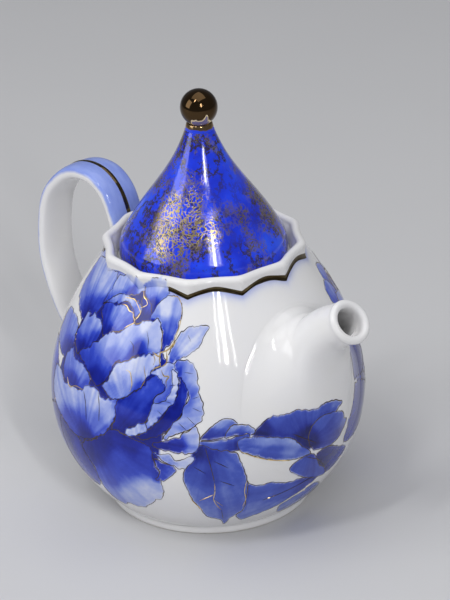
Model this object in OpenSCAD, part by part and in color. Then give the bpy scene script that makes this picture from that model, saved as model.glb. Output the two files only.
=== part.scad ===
// Porcelain teapot: a pear-shaped body with a fluted collar, a spout that grows out of the
// belly, a flat strap handle and a loose cone lid with a ball knob.
// The axis of the body is Z, the foot stands on z = 0, the spout points to +X.

/* [Body] */
// Widest diameter of the belly
belly_d = 125; // [124:0.5:127]
// Height of the widest part of the belly
belly_z = 46; // [44:1:48]
// Diameter of the belly just above the foot
base_d = 86; // [84:1:88]
// Thickness of the thrown or cast wall
wall = 3.2; // [2.6:0.1:3.6]

/* [Foot] */
// Outer diameter of the foot ring where it stands
foot_d = 82.6; // [80:0.5:84]
// Height of the foot ring
foot_h = 4.6; // [3.6:0.2:5]
// Radial thickness of the foot ring
foot_t = 3.4; // [3:0.2:5]

/* [Collar] */
// Height of the rim above the table
rim_z = 109.7; // [108:0.1:112]
// Radius of the collar on its ridges, where it leaves the shoulder
collar_r = 39.6; // [39:0.1:40]
// Depth of each flute
flute_depth = 1.7; // [0.8:0.1:2]
// Number of flutes round the collar
flutes = 12; // [8:1:16]
// Azimuth of one ridge, from the spout
flute_phase = 7; // [0:1:30]
// Thickness of the rim
rim_t = 3.9; // [3.2:0.1:4.2]

/* [Lid] */
// Diameter of the lid at its lower edge
lid_d = 65.8; // [64:0.2:66.6]
// Height of the top of the lid's cone above the table
lid_top_z = 155.2; // [153:0.2:157]
// Diameter of the ball knob
knob_d = 14.4; // [12:0.2:16]
// Outer diameter of the locating flange under the lid
flange_d = 59; // [57:0.5:59]
// Depth that the flange hangs below the lid's edge
flange_h = 7.6; // [5:0.2:10]
// Diameter of the steam hole at the back of the lid
vent_d = 2.5; // [2:0.1:3.5]

/* [Spout] */
// Outer diameter of the pouring lip
lip_d = 17.5; // [16.5:0.5:18.5]
// Diameter of the pouring hole
pour_d = 11; // [10:0.5:12]
// Diameter of each strainer hole in the body wall behind the spout
strainer_d = 4.6; // [3.5:0.1:5.5]

/* [Handle] */
// Width of the strap
strap_w = 16.4; // [14:0.2:18]
// Thickness of the strap
strap_t = 5.8; // [4.8:0.2:6.4]

/* [Hidden] */

porcelain = "white";
cobalt = "royalblue";
gold = "goldenrod";
pale_blue = "lightsteelblue";

round_fn = 96;         // sides drawn for a full turn
belly_r = belly_d / 2;
base_r = base_d / 2;
shoulder_z = 96;       // where the body shell ends and the collar begins
shoulder_r = 44.4;
shoulder_slope = 0.68; // radius lost per millimetre of height
floor_t = 3.8;
floor_corner = 6;      // how far the flat of the floor stops short of the base radius
shoulder_wall = wall * 1.2;
shoulder_soft = 3;     // height over which the belly's inside runs into the shoulder
rim_flare = 0.05;      // the collar's wall leans out by this much per millimetre
inner_flute = 0.7;     // depth of the flutes inside the rim, as a share of the outer depth
funnel_gap = 0.85;     // play round the lid at the foot of the rim's sloping inside
funnel_z = 103.1;      // height at which that slope ends, just above the seat
steps_per_flute = 8;
lip_steps = 6;         // facets over the rounded top of the rim
curve_steps = 14;      // facets along each half of the belly
lid_steps = 16;        // facets along the slope of the lid
seat_top = 102.3;
seat_t = 3;
seat_bore_d = 60.6;
seat_edge = 0.6;       // bevel on the seat's inner edge
lid_gap = 0.3;         // play between the lid and its seat
lid_z = seat_top + lid_gap;
lid_r = lid_d / 2;
lid_wall = 3.2;
neck_r = 5.6;
neck_h = 1.9;          // from the lid's cone to just under the knob
knob_r = knob_d / 2;
knob_sink = 0.4;       // how deep the knob sits in its neck
knob_z = lid_top_z + neck_h + knob_r - knob_sink;
vent_place = [-14.5, 0, 138];
vent_tilt = 60;
line_w = 2;            // width of the rim's gold line
line_from = -64;       // azimuths between which it runs; flower petals cover the rest
line_to = 225;
line_t = 0.25;         // how far a gold line stands proud
strap_line_w = 1.9;
overlap = 0.4;         // depth by which gilding is keyed into the glaze

// ---- curves -----------------------------------------------------------------------

// Points along a cubic curve with four control points
function bezier(p, n) = [for (i = [0:n]) let (t = i / n, u = 1 - t)
    u * u * u * p[0] + 3 * u * u * t * p[1] + 3 * u * t * t * p[2] + t * t * t * p[3]];

// One point of a smooth curve through a list of points, at step i and fraction t
function spline_at(p, i, t) =
    let (last = len(p) - 1, b = p[i], c = p[i + 1],
         a = i > 0 ? p[i - 1] : 2 * b - c,
         d = i + 2 <= last ? p[i + 2] : 2 * c - b)
    0.5 * (2 * b + (c - a) * t + (2 * a - 5 * b + 4 * c - d) * t * t
           + (3 * b - a - 3 * c + d) * t * t * t);

// A smooth curve through a list of points, with n steps between neighbours
function spline(p, n) = concat(
    [for (i = [0:len(p) - 2]) for (k = [0:n - 1]) spline_at(p, i, k / n)],
    [p[len(p) - 1]]);

function unit(v) = v / norm(v);

// Direction of a curve at its point i
function heading(p, i) = unit(p[min(i + 1, len(p) - 1)] - p[max(i - 1, 0)]);

// A curve moved sideways by d, to its right as it is walked
function beside(p, d) = [for (i = [0:len(p) - 1])
    let (h = heading(p, i)) p[i] + d * [h[1], -h[0]]];

function reversed(p) = [for (i = [len(p) - 1:-1:0]) p[i]];

// A closed skin over rings of equal length; the ends are capped, or joined when looped
module skin(rings, looped = false) {
    n = len(rings[0]);
    m = len(rings);
    sides = [for (i = [0:m - (looped ? 1 : 2)]) for (j = [0:n - 1])
        let (a = i * n, b = ((i + 1) % m) * n, k = (j + 1) % n)
        for (f = [[a + j, a + k, b + k], [a + j, b + k, b + j]]) f];
    caps = looped ? [] : [[for (j = [n - 1:-1:0]) j], [for (j = [0:n - 1]) (m - 1) * n + j]];
    polyhedron(points = [for (r = rings) for (q = r) q], faces = concat(sides, caps));
}

// ---- body -------------------------------------------------------------------------

belly_low = bezier([[base_r, foot_h], [56, 17], [belly_r, 31], [belly_r, belly_z]], curve_steps);
belly_high = bezier([[belly_r, belly_z], [belly_r, 62], [56, 79], [shoulder_r, shoulder_z]],
                    curve_steps);
belly_curve = concat(belly_low, [for (i = [1:curve_steps]) belly_high[i]]);
floor_z = foot_h + floor_t;
belly_inside = [for (q = beside(belly_curve, -wall))
                if (q[1] > floor_z + 1 && q[1] < shoulder_z - shoulder_soft) q];

// The body as a solid lump, up to the line where the collar starts
module body_lump() {
    rotate_extrude($fn = round_fn)
        polygon(concat([[0, foot_h]], belly_curve, [[0, shoulder_z]]));
}

// Seven holes in the wall behind the spout keep the leaves back
module strainer_holes() {
    pitch = 8.5;
    strainer_z = 62;
    translate([45, 0, strainer_z])
        for (a = [0:6])
            translate([0, a == 0 ? 0 : pitch * cos(60 * a), a == 0 ? 0 : pitch * sin(60 * a)])
                rotate([0, 90, 0])
                    cylinder(d = strainer_d, h = 30, $fn = 24);
}

module body_shell() {
    shoulder_inside = shoulder_r - shoulder_wall;
    color(porcelain)
        difference() {
            body_lump();
            rotate_extrude($fn = round_fn)
                polygon(concat([[0, floor_z], [base_r - floor_corner, floor_z]], belly_inside,
                               [[shoulder_inside, shoulder_z], [shoulder_inside, shoulder_z + 1],
                                [0, shoulder_z + 1]]));
            strainer_holes();
        }
}

module foot_ring() {
    foot_r = foot_d / 2;
    waist = 0.8; // the ring draws in under the belly
    edge = 0.6;  // rounded standing edge
    color(porcelain)
        rotate_extrude($fn = round_fn)
            polygon([[foot_r - foot_t + edge, 0], [foot_r - edge, 0], [foot_r, edge],
                     [foot_r - waist / 2, foot_h / 2], [foot_r - waist, foot_h * 0.8],
                     [foot_r - waist + 0.3, foot_h],
                     [foot_r - foot_t - 0.6, foot_h], [foot_r - foot_t, edge]]);
}

// ---- collar -----------------------------------------------------------------------

// How deep the flutes are cut at an azimuth, from 0 on a ridge to 1 in a hollow
function flute(a) = abs(sin(flutes / 2 * (a - flute_phase)));
function foot_of_wall(a) = collar_r - flute_depth * flute(a);
function crease_z(a) = shoulder_z + (shoulder_r - foot_of_wall(a)) / shoulder_slope;
function rim_r(a) = foot_of_wall(a) + rim_flare * (rim_z - crease_z(a));
function rim_inner_r(a) = rim_r(0) + (flute(0) - inner_flute * flute(a)) * flute_depth - rim_t;

// Half section of the collar at azimuth a: shoulder, crease, wall, rounded rim, inside wall
function collar_section(a) =
    let (out = rim_r(a), in = rim_inner_r(a), mid = (out + in) / 2, round = (out - in) / 2)
    concat([[shoulder_r, shoulder_z], [foot_of_wall(a), crease_z(a)]],
           [for (k = [0:lip_steps]) let (t = 180 * k / lip_steps)
            [mid + round * cos(t), rim_z - round + round * sin(t)]],
           [[lid_r + funnel_gap, funnel_z], [shoulder_r - shoulder_wall, shoulder_z]]);

module rim_collar() {
    step = 360 / (flutes * steps_per_flute);
    color(porcelain)
        skin([for (a = [0:step:360 - step / 2])
              [for (q = reversed(collar_section(a + flute_phase)))
               [q[0] * cos(a + flute_phase), q[0] * sin(a + flute_phase), q[1]]]], looped = true);
}

// The gold line in the crease; its lower half follows the slope of the shoulder
module rim_gold_line() {
    steps = ceil((line_to - line_from) / 360 * flutes * steps_per_flute);
    half = line_w / 2;
    color(gold)
        skin([for (k = [0:steps])
              let (b = line_from + (line_to - line_from) * k / steps,
                   r = foot_of_wall(b), z = crease_z(b))
              [for (q = [[r - overlap, z], [r + line_t / 2, z + half], [r + line_t, z],
                         [r + half * shoulder_slope, z - half]])
               [q[0] * cos(b), q[0] * sin(b), q[1]]]]);
}

// The ledge that carries the lid; its outer edge is keyed a little into the collar
module lid_seat() {
    bore_r = seat_bore_d / 2;
    top_r = lid_r + funnel_gap + 1.3;
    color(porcelain)
        rotate_extrude($fn = round_fn)
            polygon([[bore_r, seat_top - seat_t], [top_r + seat_t * 0.9, seat_top - seat_t],
                     [top_r, seat_top], [bore_r + seat_edge, seat_top],
                     [bore_r, seat_top - seat_edge]]);
}

// ---- spout ------------------------------------------------------------------------

// Stations along the spout: top point, under point (both in the XZ plane), half width
spout_stations = [
    [[36, 84], [52, 26], 24],
    [[45, 90.5], [61, 34], 22.5],
    [[50, 93.3], [66.5, 44], 19.5],
    [[55, 96], [69, 55], 16.5],
    [[60, 98.9], [69, 67], 13.3],
    [[64.5, 101.5], [69.3, 78], 10.6],
    [[68, 103.5], [73, 86], 9],
    [[70.8, 105.1], [79, 90.6], lip_d / 2 - 0.4],
    [[71.8, 106], [82.6, 92.2], lip_d / 2]];
lip_tilt = 40; // the lip faces this far above the horizontal

function station_mid(s) = (s[0] + s[1]) / 2;

// An oval ring at a station, drawn in by t on all sides
function oval(s, t, n = 24) =
    let (mid = station_mid(s), half = (s[0] - s[1]) / 2, up = unit(half),
         tall = norm(half) - t, wide = s[2] - t)
    [for (j = [0:n - 1]) let (a = 360 * j / n)
     [mid[0] + tall * cos(a) * up[0], wide * sin(a), mid[1] + tall * cos(a) * up[1]]];

// A round ring square to the lip, at distance d out from the last station
function lip_ring(r, d, n = 24) =
    let (mid = station_mid(spout_stations[len(spout_stations) - 1]))
    [for (j = [0:n - 1]) let (a = 360 * j / n)
     [mid[0] + d * cos(lip_tilt) - r * cos(a) * sin(lip_tilt), r * sin(a),
      mid[1] + d * sin(lip_tilt) + r * cos(a) * cos(lip_tilt)]];

spout_path = [for (i = [0:len(spout_stations) - 2]) for (k = [0:1])
    [for (c = [0:2]) spline_at([for (s = spout_stations) s[c]], i, k / 2)]];

module spout() {
    lip_round = 1.6;
    channel_end = len(spout_path) - 5;
    color(porcelain)
        difference() {
            skin(concat([for (s = spout_path) oval(s, 0)],
                        [lip_ring(lip_d / 2, 0), lip_ring(lip_d / 2 - 0.5, lip_round * 0.6),
                         lip_ring(lip_d / 2 - 1.5, lip_round)]));
            skin(concat([for (i = [0:channel_end]) oval(spout_path[i], wall)],
                        [lip_ring(pour_d / 2, -4), lip_ring(pour_d / 2, 0),
                         lip_ring(pour_d / 2 + 0.8, lip_round * 0.7),
                         lip_ring(pour_d / 2 + 2, lip_round * 1.3)]));
            body_lump();
        }
}

// ---- handle -----------------------------------------------------------------------

// Middle line of the strap, given as distance behind the axis and height
strap_points = [[40.5, 91], [44, 102.5], [49.5, 114.5], [59, 119.8], [72, 117.5], [84, 106],
                [88.5, 92], [88.8, 74], [82.2, 56.5], [73, 43.8], [62, 32], [52, 24]];
strap_steps = 4;
strap_path = spline(strap_points, strap_steps);

// A ring round the strap: a flat oval with soft corners
function strap_ring(i, n = 20) =
    let (h = heading(strap_path, i), out = [-h[1], h[0]], q = strap_path[i])
    [for (j = [0:n - 1])
     let (a = 360 * j / n, c = cos(a), s = sin(a),
          w = strap_w / 2 * sign(c) * pow(abs(c), 0.7),
          t = strap_t / 2 * sign(s) * pow(abs(s), 0.7))
     [-(q[0] + out[0] * t), w, q[1] + out[1] * t]];

module handle() {
    color(pale_blue)
        difference() {
            skin([for (i = [0:len(strap_path) - 1]) reversed(strap_ring(i))]);
            body_lump();
            // the shoulder cone, on up to the foot of the collar's wall
            translate([0, 0, shoulder_z - 0.01])
                cylinder(r1 = shoulder_r, r2 = collar_r - flute_depth, $fn = round_fn,
                         h = (shoulder_r - collar_r + flute_depth) / shoulder_slope);
        }
}

// The gold line runs along the middle of the strap's outer face, clear of both joints
module handle_gold_line() {
    first = strap_steps + 3;
    last = len(strap_path) - 3 * strap_steps;
    color(gold)
        skin([for (i = [first:last])
              let (h = heading(strap_path, i), out = [-h[1], h[0]], q = strap_path[i])
              [for (c = [[-1, -overlap], [-1, line_t * 0.4], [0, line_t], [1, line_t * 0.4],
                         [1, -overlap]])
               let (t = strap_t / 2 + c[1])
               [-(q[0] + out[0] * t), c[0] * strap_line_w / 2, q[1] + out[1] * t]]]);
}

// ---- lid --------------------------------------------------------------------------

lid_slope = bezier([[lid_r - 1.1, lid_z + 9], [21, 131], [12, 137], [neck_r, lid_top_z]],
                   lid_steps);
lid_edge = bezier([[lid_r - 1.4, lid_z], [lid_r + 0.2, lid_z + 0.2], [lid_r + 0.3, lid_z + 4.6],
                   [lid_r - 1.1, lid_z + 9]], 6);
lid_outside = concat(lid_edge, [for (i = [1:lid_steps]) lid_slope[i]]);

module lid_cone() {
    flange_r = flange_d / 2;
    hollow = [for (q = beside(lid_slope, -lid_wall)) if (q[0] > 1.5 && q[0] < flange_r) q];
    color(cobalt)
        difference() {
            rotate_extrude($fn = round_fn)
                polygon(concat([[0, lid_z]], lid_outside, [[0, lid_top_z]]));
            rotate_extrude($fn = round_fn)
                polygon(concat([[0, lid_z - 1], [flange_r, lid_z - 1], [flange_r, lid_z + 4]],
                               hollow, [[0, hollow[len(hollow) - 1][1]]]));
            translate(vent_place)
                rotate([0, -vent_tilt, 0])
                    cylinder(d = vent_d, h = 14, center = true, $fn = 24);
        }
}

module lid_flange() {
    flange_r = flange_d / 2;
    flange_t = 3;
    color(porcelain)
        rotate_extrude($fn = round_fn)
            polygon([[flange_r - flange_t, lid_z - flange_h], [flange_r - 0.8, lid_z - flange_h],
                     [flange_r, lid_z - flange_h + 1], [flange_r, lid_z + 3.4],
                     [flange_r - flange_t, lid_z + 3.4]]);
}

module knob_neck() {
    lip_r = neck_r + 0.2;
    neck_top = lid_top_z + neck_h + 1.1;
    color(porcelain)
        difference() {
            rotate_extrude($fn = round_fn)
                polygon([[0, lid_top_z], [neck_r, lid_top_z], [lip_r, lid_top_z + 0.6],
                         [lip_r, lid_top_z + 1.3], [lip_r - 0.9, neck_top], [0, neck_top]]);
            translate([0, 0, knob_z])
                sphere(r = knob_r, $fn = 48);
        }
}

module lid_knob() {
    color(gold)
        translate([0, 0, knob_z])
            sphere(r = knob_r, $fn = 48);
}

body_shell();
foot_ring();
rim_collar();
lid_seat();
spout();
handle();
rim_gold_line();
handle_gold_line();
lid_cone();
lid_flange();
knob_neck();
lid_knob();
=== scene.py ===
"""A blue-and-white painted porcelain teapot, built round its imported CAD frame.

Shapes are worked out in millimetres, in the CAD frame: Z is the axis of the body and the spout
points to +X. Painted outlines are given on the surface as (degrees round the pot from its painted
front, millimetres up the outside of the belly from the foot).
"""
import math

import bmesh
import bpy
import numpy as np
from mathutils import Matrix, Vector
from mathutils.bvhtree import BVHTree


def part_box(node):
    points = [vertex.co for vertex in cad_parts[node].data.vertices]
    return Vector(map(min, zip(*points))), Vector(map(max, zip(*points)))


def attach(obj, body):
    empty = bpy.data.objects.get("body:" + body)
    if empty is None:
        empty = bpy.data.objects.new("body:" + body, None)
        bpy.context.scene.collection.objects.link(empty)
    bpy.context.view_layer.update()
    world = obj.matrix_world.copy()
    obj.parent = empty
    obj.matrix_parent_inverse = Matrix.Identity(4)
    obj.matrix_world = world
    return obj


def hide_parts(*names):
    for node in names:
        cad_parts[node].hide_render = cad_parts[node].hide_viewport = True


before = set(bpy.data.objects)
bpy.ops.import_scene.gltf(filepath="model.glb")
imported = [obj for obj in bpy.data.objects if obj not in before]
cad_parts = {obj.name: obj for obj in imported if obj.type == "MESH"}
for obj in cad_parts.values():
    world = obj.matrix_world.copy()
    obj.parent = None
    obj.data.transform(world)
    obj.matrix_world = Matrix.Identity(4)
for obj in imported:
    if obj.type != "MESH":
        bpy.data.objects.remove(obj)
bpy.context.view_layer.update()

MM = 0.001


# ---- sizes, from the frame ---------------------------------------------------------------

Y = 1
Z = 2


def low_mm(node, axis):
    """Lowest coordinate of a CAD node along an axis, in millimetres."""
    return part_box(node)[0][axis] / MM


def high_mm(node, axis):
    """Highest coordinate of a CAD node along an axis, in millimetres."""
    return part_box(node)[1][axis] / MM


BELLY_R = high_mm("body_shell", Y)
SHOULDER_Z = high_mm("body_shell", Z)
FOOT_H = high_mm("foot_ring", Z)
FOOT_R = high_mm("foot_ring", Y)
RIM_Z = high_mm("rim_collar", Z)
SHOULDER_R = high_mm("rim_collar", Y)
SEAT_TOP = high_mm("lid_seat", Z)
LID_Z = low_mm("lid_cone", Z)
LID_R = high_mm("lid_cone", Y) + 0.12   # its rounded edge bulges to 0.12 short of this
LID_TOP = high_mm("lid_cone", Z)
FLANGE_R = high_mm("lid_flange", Y)
FLANGE_Z = low_mm("lid_flange", Z)
KNOB_R = (high_mm("lid_knob", Z) - low_mm("lid_knob", Z)) / 2
KNOB_Z = (high_mm("lid_knob", Z) + low_mm("lid_knob", Z)) / 2
STRAP_W = 2 * high_mm("handle", Y)
STRAP_LINE_END = low_mm("handle_gold_line", Z)
STRAP_LINE_START = 103.0   # height at which the gold line on the strap begins

WALL = 3.2             # thickness of the porcelain
BASE_R = 43.0          # radius of the belly just above the foot
BELLY_Z = 46.0         # height of its widest part
SHOULDER_SLOPE = 0.68  # radius lost per millimetre of height above the shoulder
FLOOR_Z = FOOT_H + 3.8  # height of the floor inside the pot
COLLAR_R = 39.6        # radius of the collar's ridges where they leave the shoulder
FLUTES = 12            # hollows round the collar
FLUTE_DEPTH = 1.7      # and how deep they are
FLUTE_PHASE = 7.0      # azimuth of one ridge, in degrees from the spout
RIM_FLARE = 0.05       # radius gained per millimetre of height up the collar
COLLAR_H = 6.5         # height of its flare
RIM_T = 3.9            # thickness of the rim
STRAP_T = 5.8          # thickness of the handle

CAMERA_AZIMUTH = 46.6          # degrees round from -Y towards +X
FRONT = CAMERA_AZIMUTH - 90.0  # azimuth of the painted front, from +X


# ---- curves and meshes -------------------------------------------------------------------

def bezier(points, count):
    """Points along a cubic curve with four control points."""
    p = np.array(points, float)
    t = np.linspace(0, 1, count)[:, None]
    u = 1 - t
    return u**3 * p[0] + 3 * u * u * t * p[1] + 3 * u * t * t * p[2] + t**3 * p[3]


def spline(points, steps, closed=False):
    """A smooth curve through points, with a number of steps between neighbours."""
    p = np.array(points, float)
    if closed:
        padded = np.vstack([p[-1], p, p[0], p[1]])
    else:
        padded = np.vstack([2 * p[0] - p[1], p, 2 * p[-1] - p[-2]])
    spans = len(padded) - 3
    t = (np.arange(steps) / steps)[None, :, None]
    a, b, c, d = (padded[k:k + spans, None, :] for k in range(4))
    walk = 0.5 * (2 * b + (c - a) * t + (2 * a - 5 * b + 4 * c - d) * t**2
                  + (3 * b - a - 3 * c + d) * t**3)
    walk = walk.reshape(-1, p.shape[1])
    return walk if closed else np.vstack([walk, p[-1]])


def lengths(points):
    """Distance walked along a curve at each of its points."""
    return np.r_[0, np.cumsum(np.linalg.norm(np.diff(points, axis=0), axis=1))]


def even(points, count):
    """The same curve with its points an equal distance apart."""
    walked = lengths(points)
    want = np.linspace(0, walked[-1], count)
    return np.stack([np.interp(want, walked, points[:, k])
                     for k in range(points.shape[1])], axis=1)


def unit(v):
    """Vectors made one long."""
    return v / np.maximum(np.linalg.norm(v, axis=-1, keepdims=True), 1e-9)


def make_object(name, verts, faces, body, replaced=()):
    """A smooth mesh piece from millimetre coordinates, riding on a CAD body."""
    mesh = bpy.data.meshes.new(name)
    mesh.from_pydata((np.asarray(verts) * MM).tolist(), [], faces)
    solid = bmesh.new()
    solid.from_mesh(mesh)
    bmesh.ops.recalc_face_normals(solid, faces=solid.faces)
    solid.to_mesh(mesh)
    solid.free()
    mesh.update()
    mesh.shade_smooth()
    mesh.set_sharp_from_angle(angle=math.radians(50))
    piece = bpy.data.objects.new(name, mesh)
    bpy.context.scene.collection.objects.link(piece)
    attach(piece, body)
    if replaced:
        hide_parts(*replaced)
    return piece


def ring_faces(rows, cols, looped, first=0):
    """Quads over rows of closed rings; the last row joins the first when looped."""
    i = np.arange(rows if looped else rows - 1)[:, None]
    j = np.arange(cols)[None, :]
    a = i * cols
    b = ((i + 1) % rows) * cols
    k = (j + 1) % cols
    quads = np.stack([a + j, a + k, b + k, b + j], axis=-1).reshape(-1, 4) + first
    return quads.tolist()


def skin(name, rings, body, replaced=(), looped=False):
    """A closed piece over rings of points; the ends are capped unless it is looped."""
    rows, cols = rings.shape[:2]
    faces = ring_faces(rows, cols, looped)
    if not looped:
        faces.append(list(range(cols))[::-1])
        faces.append(list(range((rows - 1) * cols, rows * cols)))
    return make_object(name, rings.reshape(-1, 3), faces, body, replaced)


def turned(profile, cols):
    """Rings of a shape turned on the axis from (radius, height) points."""
    a = np.radians(np.arange(cols) * 360 / cols)
    p = np.asarray(profile, float)
    return np.stack([p[:, :1] * np.cos(a), p[:, :1] * np.sin(a),
                     np.repeat(p[:, 1:2], cols, axis=1)], axis=-1)


def noise_line(seed, count, smooth):
    """A closed run of smooth seeded noise, about one high."""
    rough = np.random.default_rng(seed).standard_normal(count)
    kernel = np.hanning(smooth + 2)
    padded = np.r_[rough[-smooth:], rough, rough[:smooth]]
    walk = np.convolve(padded, kernel / np.sqrt(np.sum(kernel**2)), "same")
    return walk[smooth:-smooth]


def from_ends(count):
    """For each step along a line, how many steps it is from the nearer end."""
    return np.minimum(np.arange(count), np.arange(count)[::-1])


def azimuth_of(points):
    """Degrees round from the spout."""
    return np.degrees(np.arctan2(points[:, 1], points[:, 0]))


def from_front(azimuth):
    """Degrees round from the painted front, from -180 to 180."""
    return (azimuth - FRONT + 180) % 360 - 180


def add_attribute(piece, name, values):
    """One number for every vertex, for the materials to read."""
    layer = piece.data.attributes.new(name, "FLOAT", "POINT")
    layer.data.foreach_set("value", np.ascontiguousarray(values, dtype=np.float32))


# ---- the outside of the pot --------------------------------------------------------------

def belly_curve(count):
    """The belly's profile, (radius, height): a sweep out from the foot, one in to the shoulder."""
    low = bezier([[BASE_R, FOOT_H], [56, 17], [BELLY_R, 31], [BELLY_R, BELLY_Z]], count)
    high = bezier([[BELLY_R, BELLY_Z], [BELLY_R, 62], [56, 79], [SHOULDER_R, SHOULDER_Z]], count)
    return np.vstack([low[:-1], high])


CONE_TOP = [[SHOULDER_R - 12 * SHOULDER_SLOPE, SHOULDER_Z + 12]]
OUTSIDE = np.vstack([belly_curve(120), CONE_TOP])
WALKED = lengths(OUTSIDE)


def belly_radius(z):
    """Radius of the plain body at a height."""
    return np.interp(z, OUTSIDE[:, 1], OUTSIDE[:, 0])


def belly_normal(point):
    """Outward direction of the plain body at points on it."""
    z = point[..., 2]
    lean = belly_radius(z + 0.5) - belly_radius(z - 0.5)
    return unit(np.concatenate([unit(point[..., :2]), -lean[..., None]], axis=-1))


def flute(azimuth, soft=0):
    """Depth of the flutes, 0 on a ridge and 1 in a hollow; soft rounds the ridges."""
    wave = np.sin(np.radians(FLUTES / 2 * (azimuth - FLUTE_PHASE)))
    return (np.sqrt(wave**2 + soft**2) - soft) / (math.sqrt(1 + soft**2) - soft)


def wall_foot(azimuth):
    """Radius of the fluted wall where it leaves the shoulder."""
    return COLLAR_R - FLUTE_DEPTH * flute(azimuth)


def crease_z(azimuth):
    """Height at which the fluted wall leaves the shoulder."""
    return SHOULDER_Z + (SHOULDER_R - wall_foot(azimuth)) / SHOULDER_SLOPE


def crease_s(azimuth):
    """The same place, as distance up the outside of the belly."""
    return np.interp(crease_z(azimuth), OUTSIDE[:, 1], WALKED)


def on_surface(azimuth, s, lift=0.0):
    """Points on the outside of body and collar, at an azimuth in degrees and a distance up it."""
    azimuth, s = np.broadcast_arrays(np.asarray(azimuth, float), np.asarray(s, float))
    crease = crease_s(azimuth)
    above = np.maximum(s - crease, 0)
    r = np.interp(np.minimum(s, crease), WALKED, OUTSIDE[:, 0]) + RIM_FLARE * above
    z = np.interp(np.minimum(s, crease), WALKED, OUTSIDE[:, 1]) + above
    a = np.radians(azimuth)
    point = np.stack([r * np.cos(a), r * np.sin(a), z], axis=-1)
    normal = belly_normal(point)
    upright = np.stack([np.cos(a), np.sin(a), 0 * a], axis=-1)
    normal = np.where((above > 0)[..., None], upright, normal)
    return point + lift * normal


def surface_place(verts):
    """Where points lie on the outside: (degrees from the painted front, distance up it)."""
    azimuth = azimuth_of(verts)
    crease = crease_z(azimuth)
    s = np.interp(np.minimum(verts[:, 2], crease), OUTSIDE[:, 1], WALKED)
    return from_front(azimuth), s + np.maximum(verts[:, 2] - crease, 0)


# ---- body, foot and collar ---------------------------------------------------------------

TURN_STEPS = 640       # columns round the painted skin
BELLY_ROWS = 132       # rows up its outside
INSIDE_DROP = 3.84     # how far the shoulder's inside face stands in from its outside


def make_body():
    """The belly and shoulder as one closed shell, up to the crease under the collar."""
    azimuth = np.arange(TURN_STEPS) * 360 / TURN_STEPS
    crease = crease_s(azimuth)
    up = np.linspace(0, 1, BELLY_ROWS)[:, None]
    outside = on_surface(azimuth[None, :], up * crease[None, :])
    inside = belly_curve(9)[2:] - [WALL, 0]
    inside[-1] = [SHOULDER_R - INSIDE_DROP + 0.3, SHOULDER_Z - 0.5]
    inner = turned(np.vstack([[2, FLOOR_Z], [BASE_R - 6, FLOOR_Z], inside]), TURN_STEPS)[::-1]
    tucked = on_surface(azimuth, crease, -2.0)[None]
    under = turned([[2, FOOT_H + 0.2], [BASE_R - 4, FOOT_H + 0.2]], TURN_STEPS)
    rings = np.vstack([under, outside, tucked, inner])
    return skin("body_painted", rings, "pot", ["body_shell"])


def rim_outer(azimuth):
    """Outer radius of the rim at its top, where the ridges have softened."""
    return COLLAR_R - FLUTE_DEPTH * flute(azimuth, 0.25) + RIM_FLARE * COLLAR_H


def rim_inner(azimuth):
    """Inner radius of the rim; the flutes show there at seven tenths of their depth."""
    return COLLAR_R + RIM_FLARE * COLLAR_H - RIM_T - 0.7 * FLUTE_DEPTH * flute(azimuth, 0.4)


def make_collar():
    """The fluted upright wall with its thick rounded rim."""
    columns = FLUTES * 40
    azimuth = FLUTE_PHASE + np.arange(columns) * 360 / columns
    a = np.radians(azimuth)
    outer = rim_outer(azimuth)
    inner = rim_inner(azimuth)
    foot = wall_foot(azimuth)
    low = crease_z(azimuth)
    half = (outer - inner) / 2
    high = RIM_Z - half
    sections = [(foot - 2.5, low - 1.5), (foot - 0.2, low - 0.2)]
    for k in np.linspace(0.02, 1, 14):
        sections.append((foot + (outer - foot) * k, low + (high - low) * k))
    for turn in np.radians(np.arange(12, 181, 12)):
        sections.append(((outer + inner) / 2 + half * np.cos(turn), high + half * np.sin(turn)))
    funnel = LID_R + 0.85   # the inside slopes in to meet the lid
    for k in (0.2, 0.4, 0.6, 0.8, 1):
        sections.append((inner + (funnel - inner) * k, high + (SEAT_TOP + 0.8 - high) * k))
    inside = SHOULDER_R - INSIDE_DROP
    sections.append((0 * a + inside - 2.4, 0 * a + SHOULDER_Z + 3.5))
    sections.append((0 * a + inside, 0 * a + SHOULDER_Z))
    rings = np.stack([np.stack([r * np.cos(a), r * np.sin(a), z], axis=-1)
                      for r, z in sections])
    return skin("collar", rings, "pot", ["rim_collar"], looped=True)


def make_foot():
    """The turned foot ring, its standing edge bare of glaze."""
    edge = 0.6         # rounding of the standing edge
    waist = 0.8        # how far the ring draws in under the belly
    inner = FOOT_R - 3.4
    outside = bezier([[FOOT_R, edge], [FOOT_R + 0.1, 2.0], [FOOT_R - waist, 2.6],
                      [FOOT_R - waist + 0.5, FOOT_H + 0.35]], 14)
    profile = np.vstack([[inner, edge + 0.4], [inner + 0.2, 0.2], [inner + edge, 0],
                         [FOOT_R - edge, 0], [FOOT_R - 0.2, 0.2], outside,
                         [inner - 0.6, FOOT_H + 0.35]])
    return skin("foot", turned(profile, 256), "pot", ["foot_ring"], looped=True)


def make_seat():
    """The ledge inside the collar that carries the lid."""
    bore = 30.3
    outer = LID_R + 2.2
    profile = [[bore, SEAT_TOP - 3], [outer + 2.6, SEAT_TOP - 3], [outer, SEAT_TOP],
               [bore + 0.9, SEAT_TOP], [bore + 0.3, SEAT_TOP - 0.2], [bore, SEAT_TOP - 0.7]]
    return skin("seat", turned(profile, 256), "pot", ["lid_seat"], looped=True)


# ---- spout -------------------------------------------------------------------------------

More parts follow.
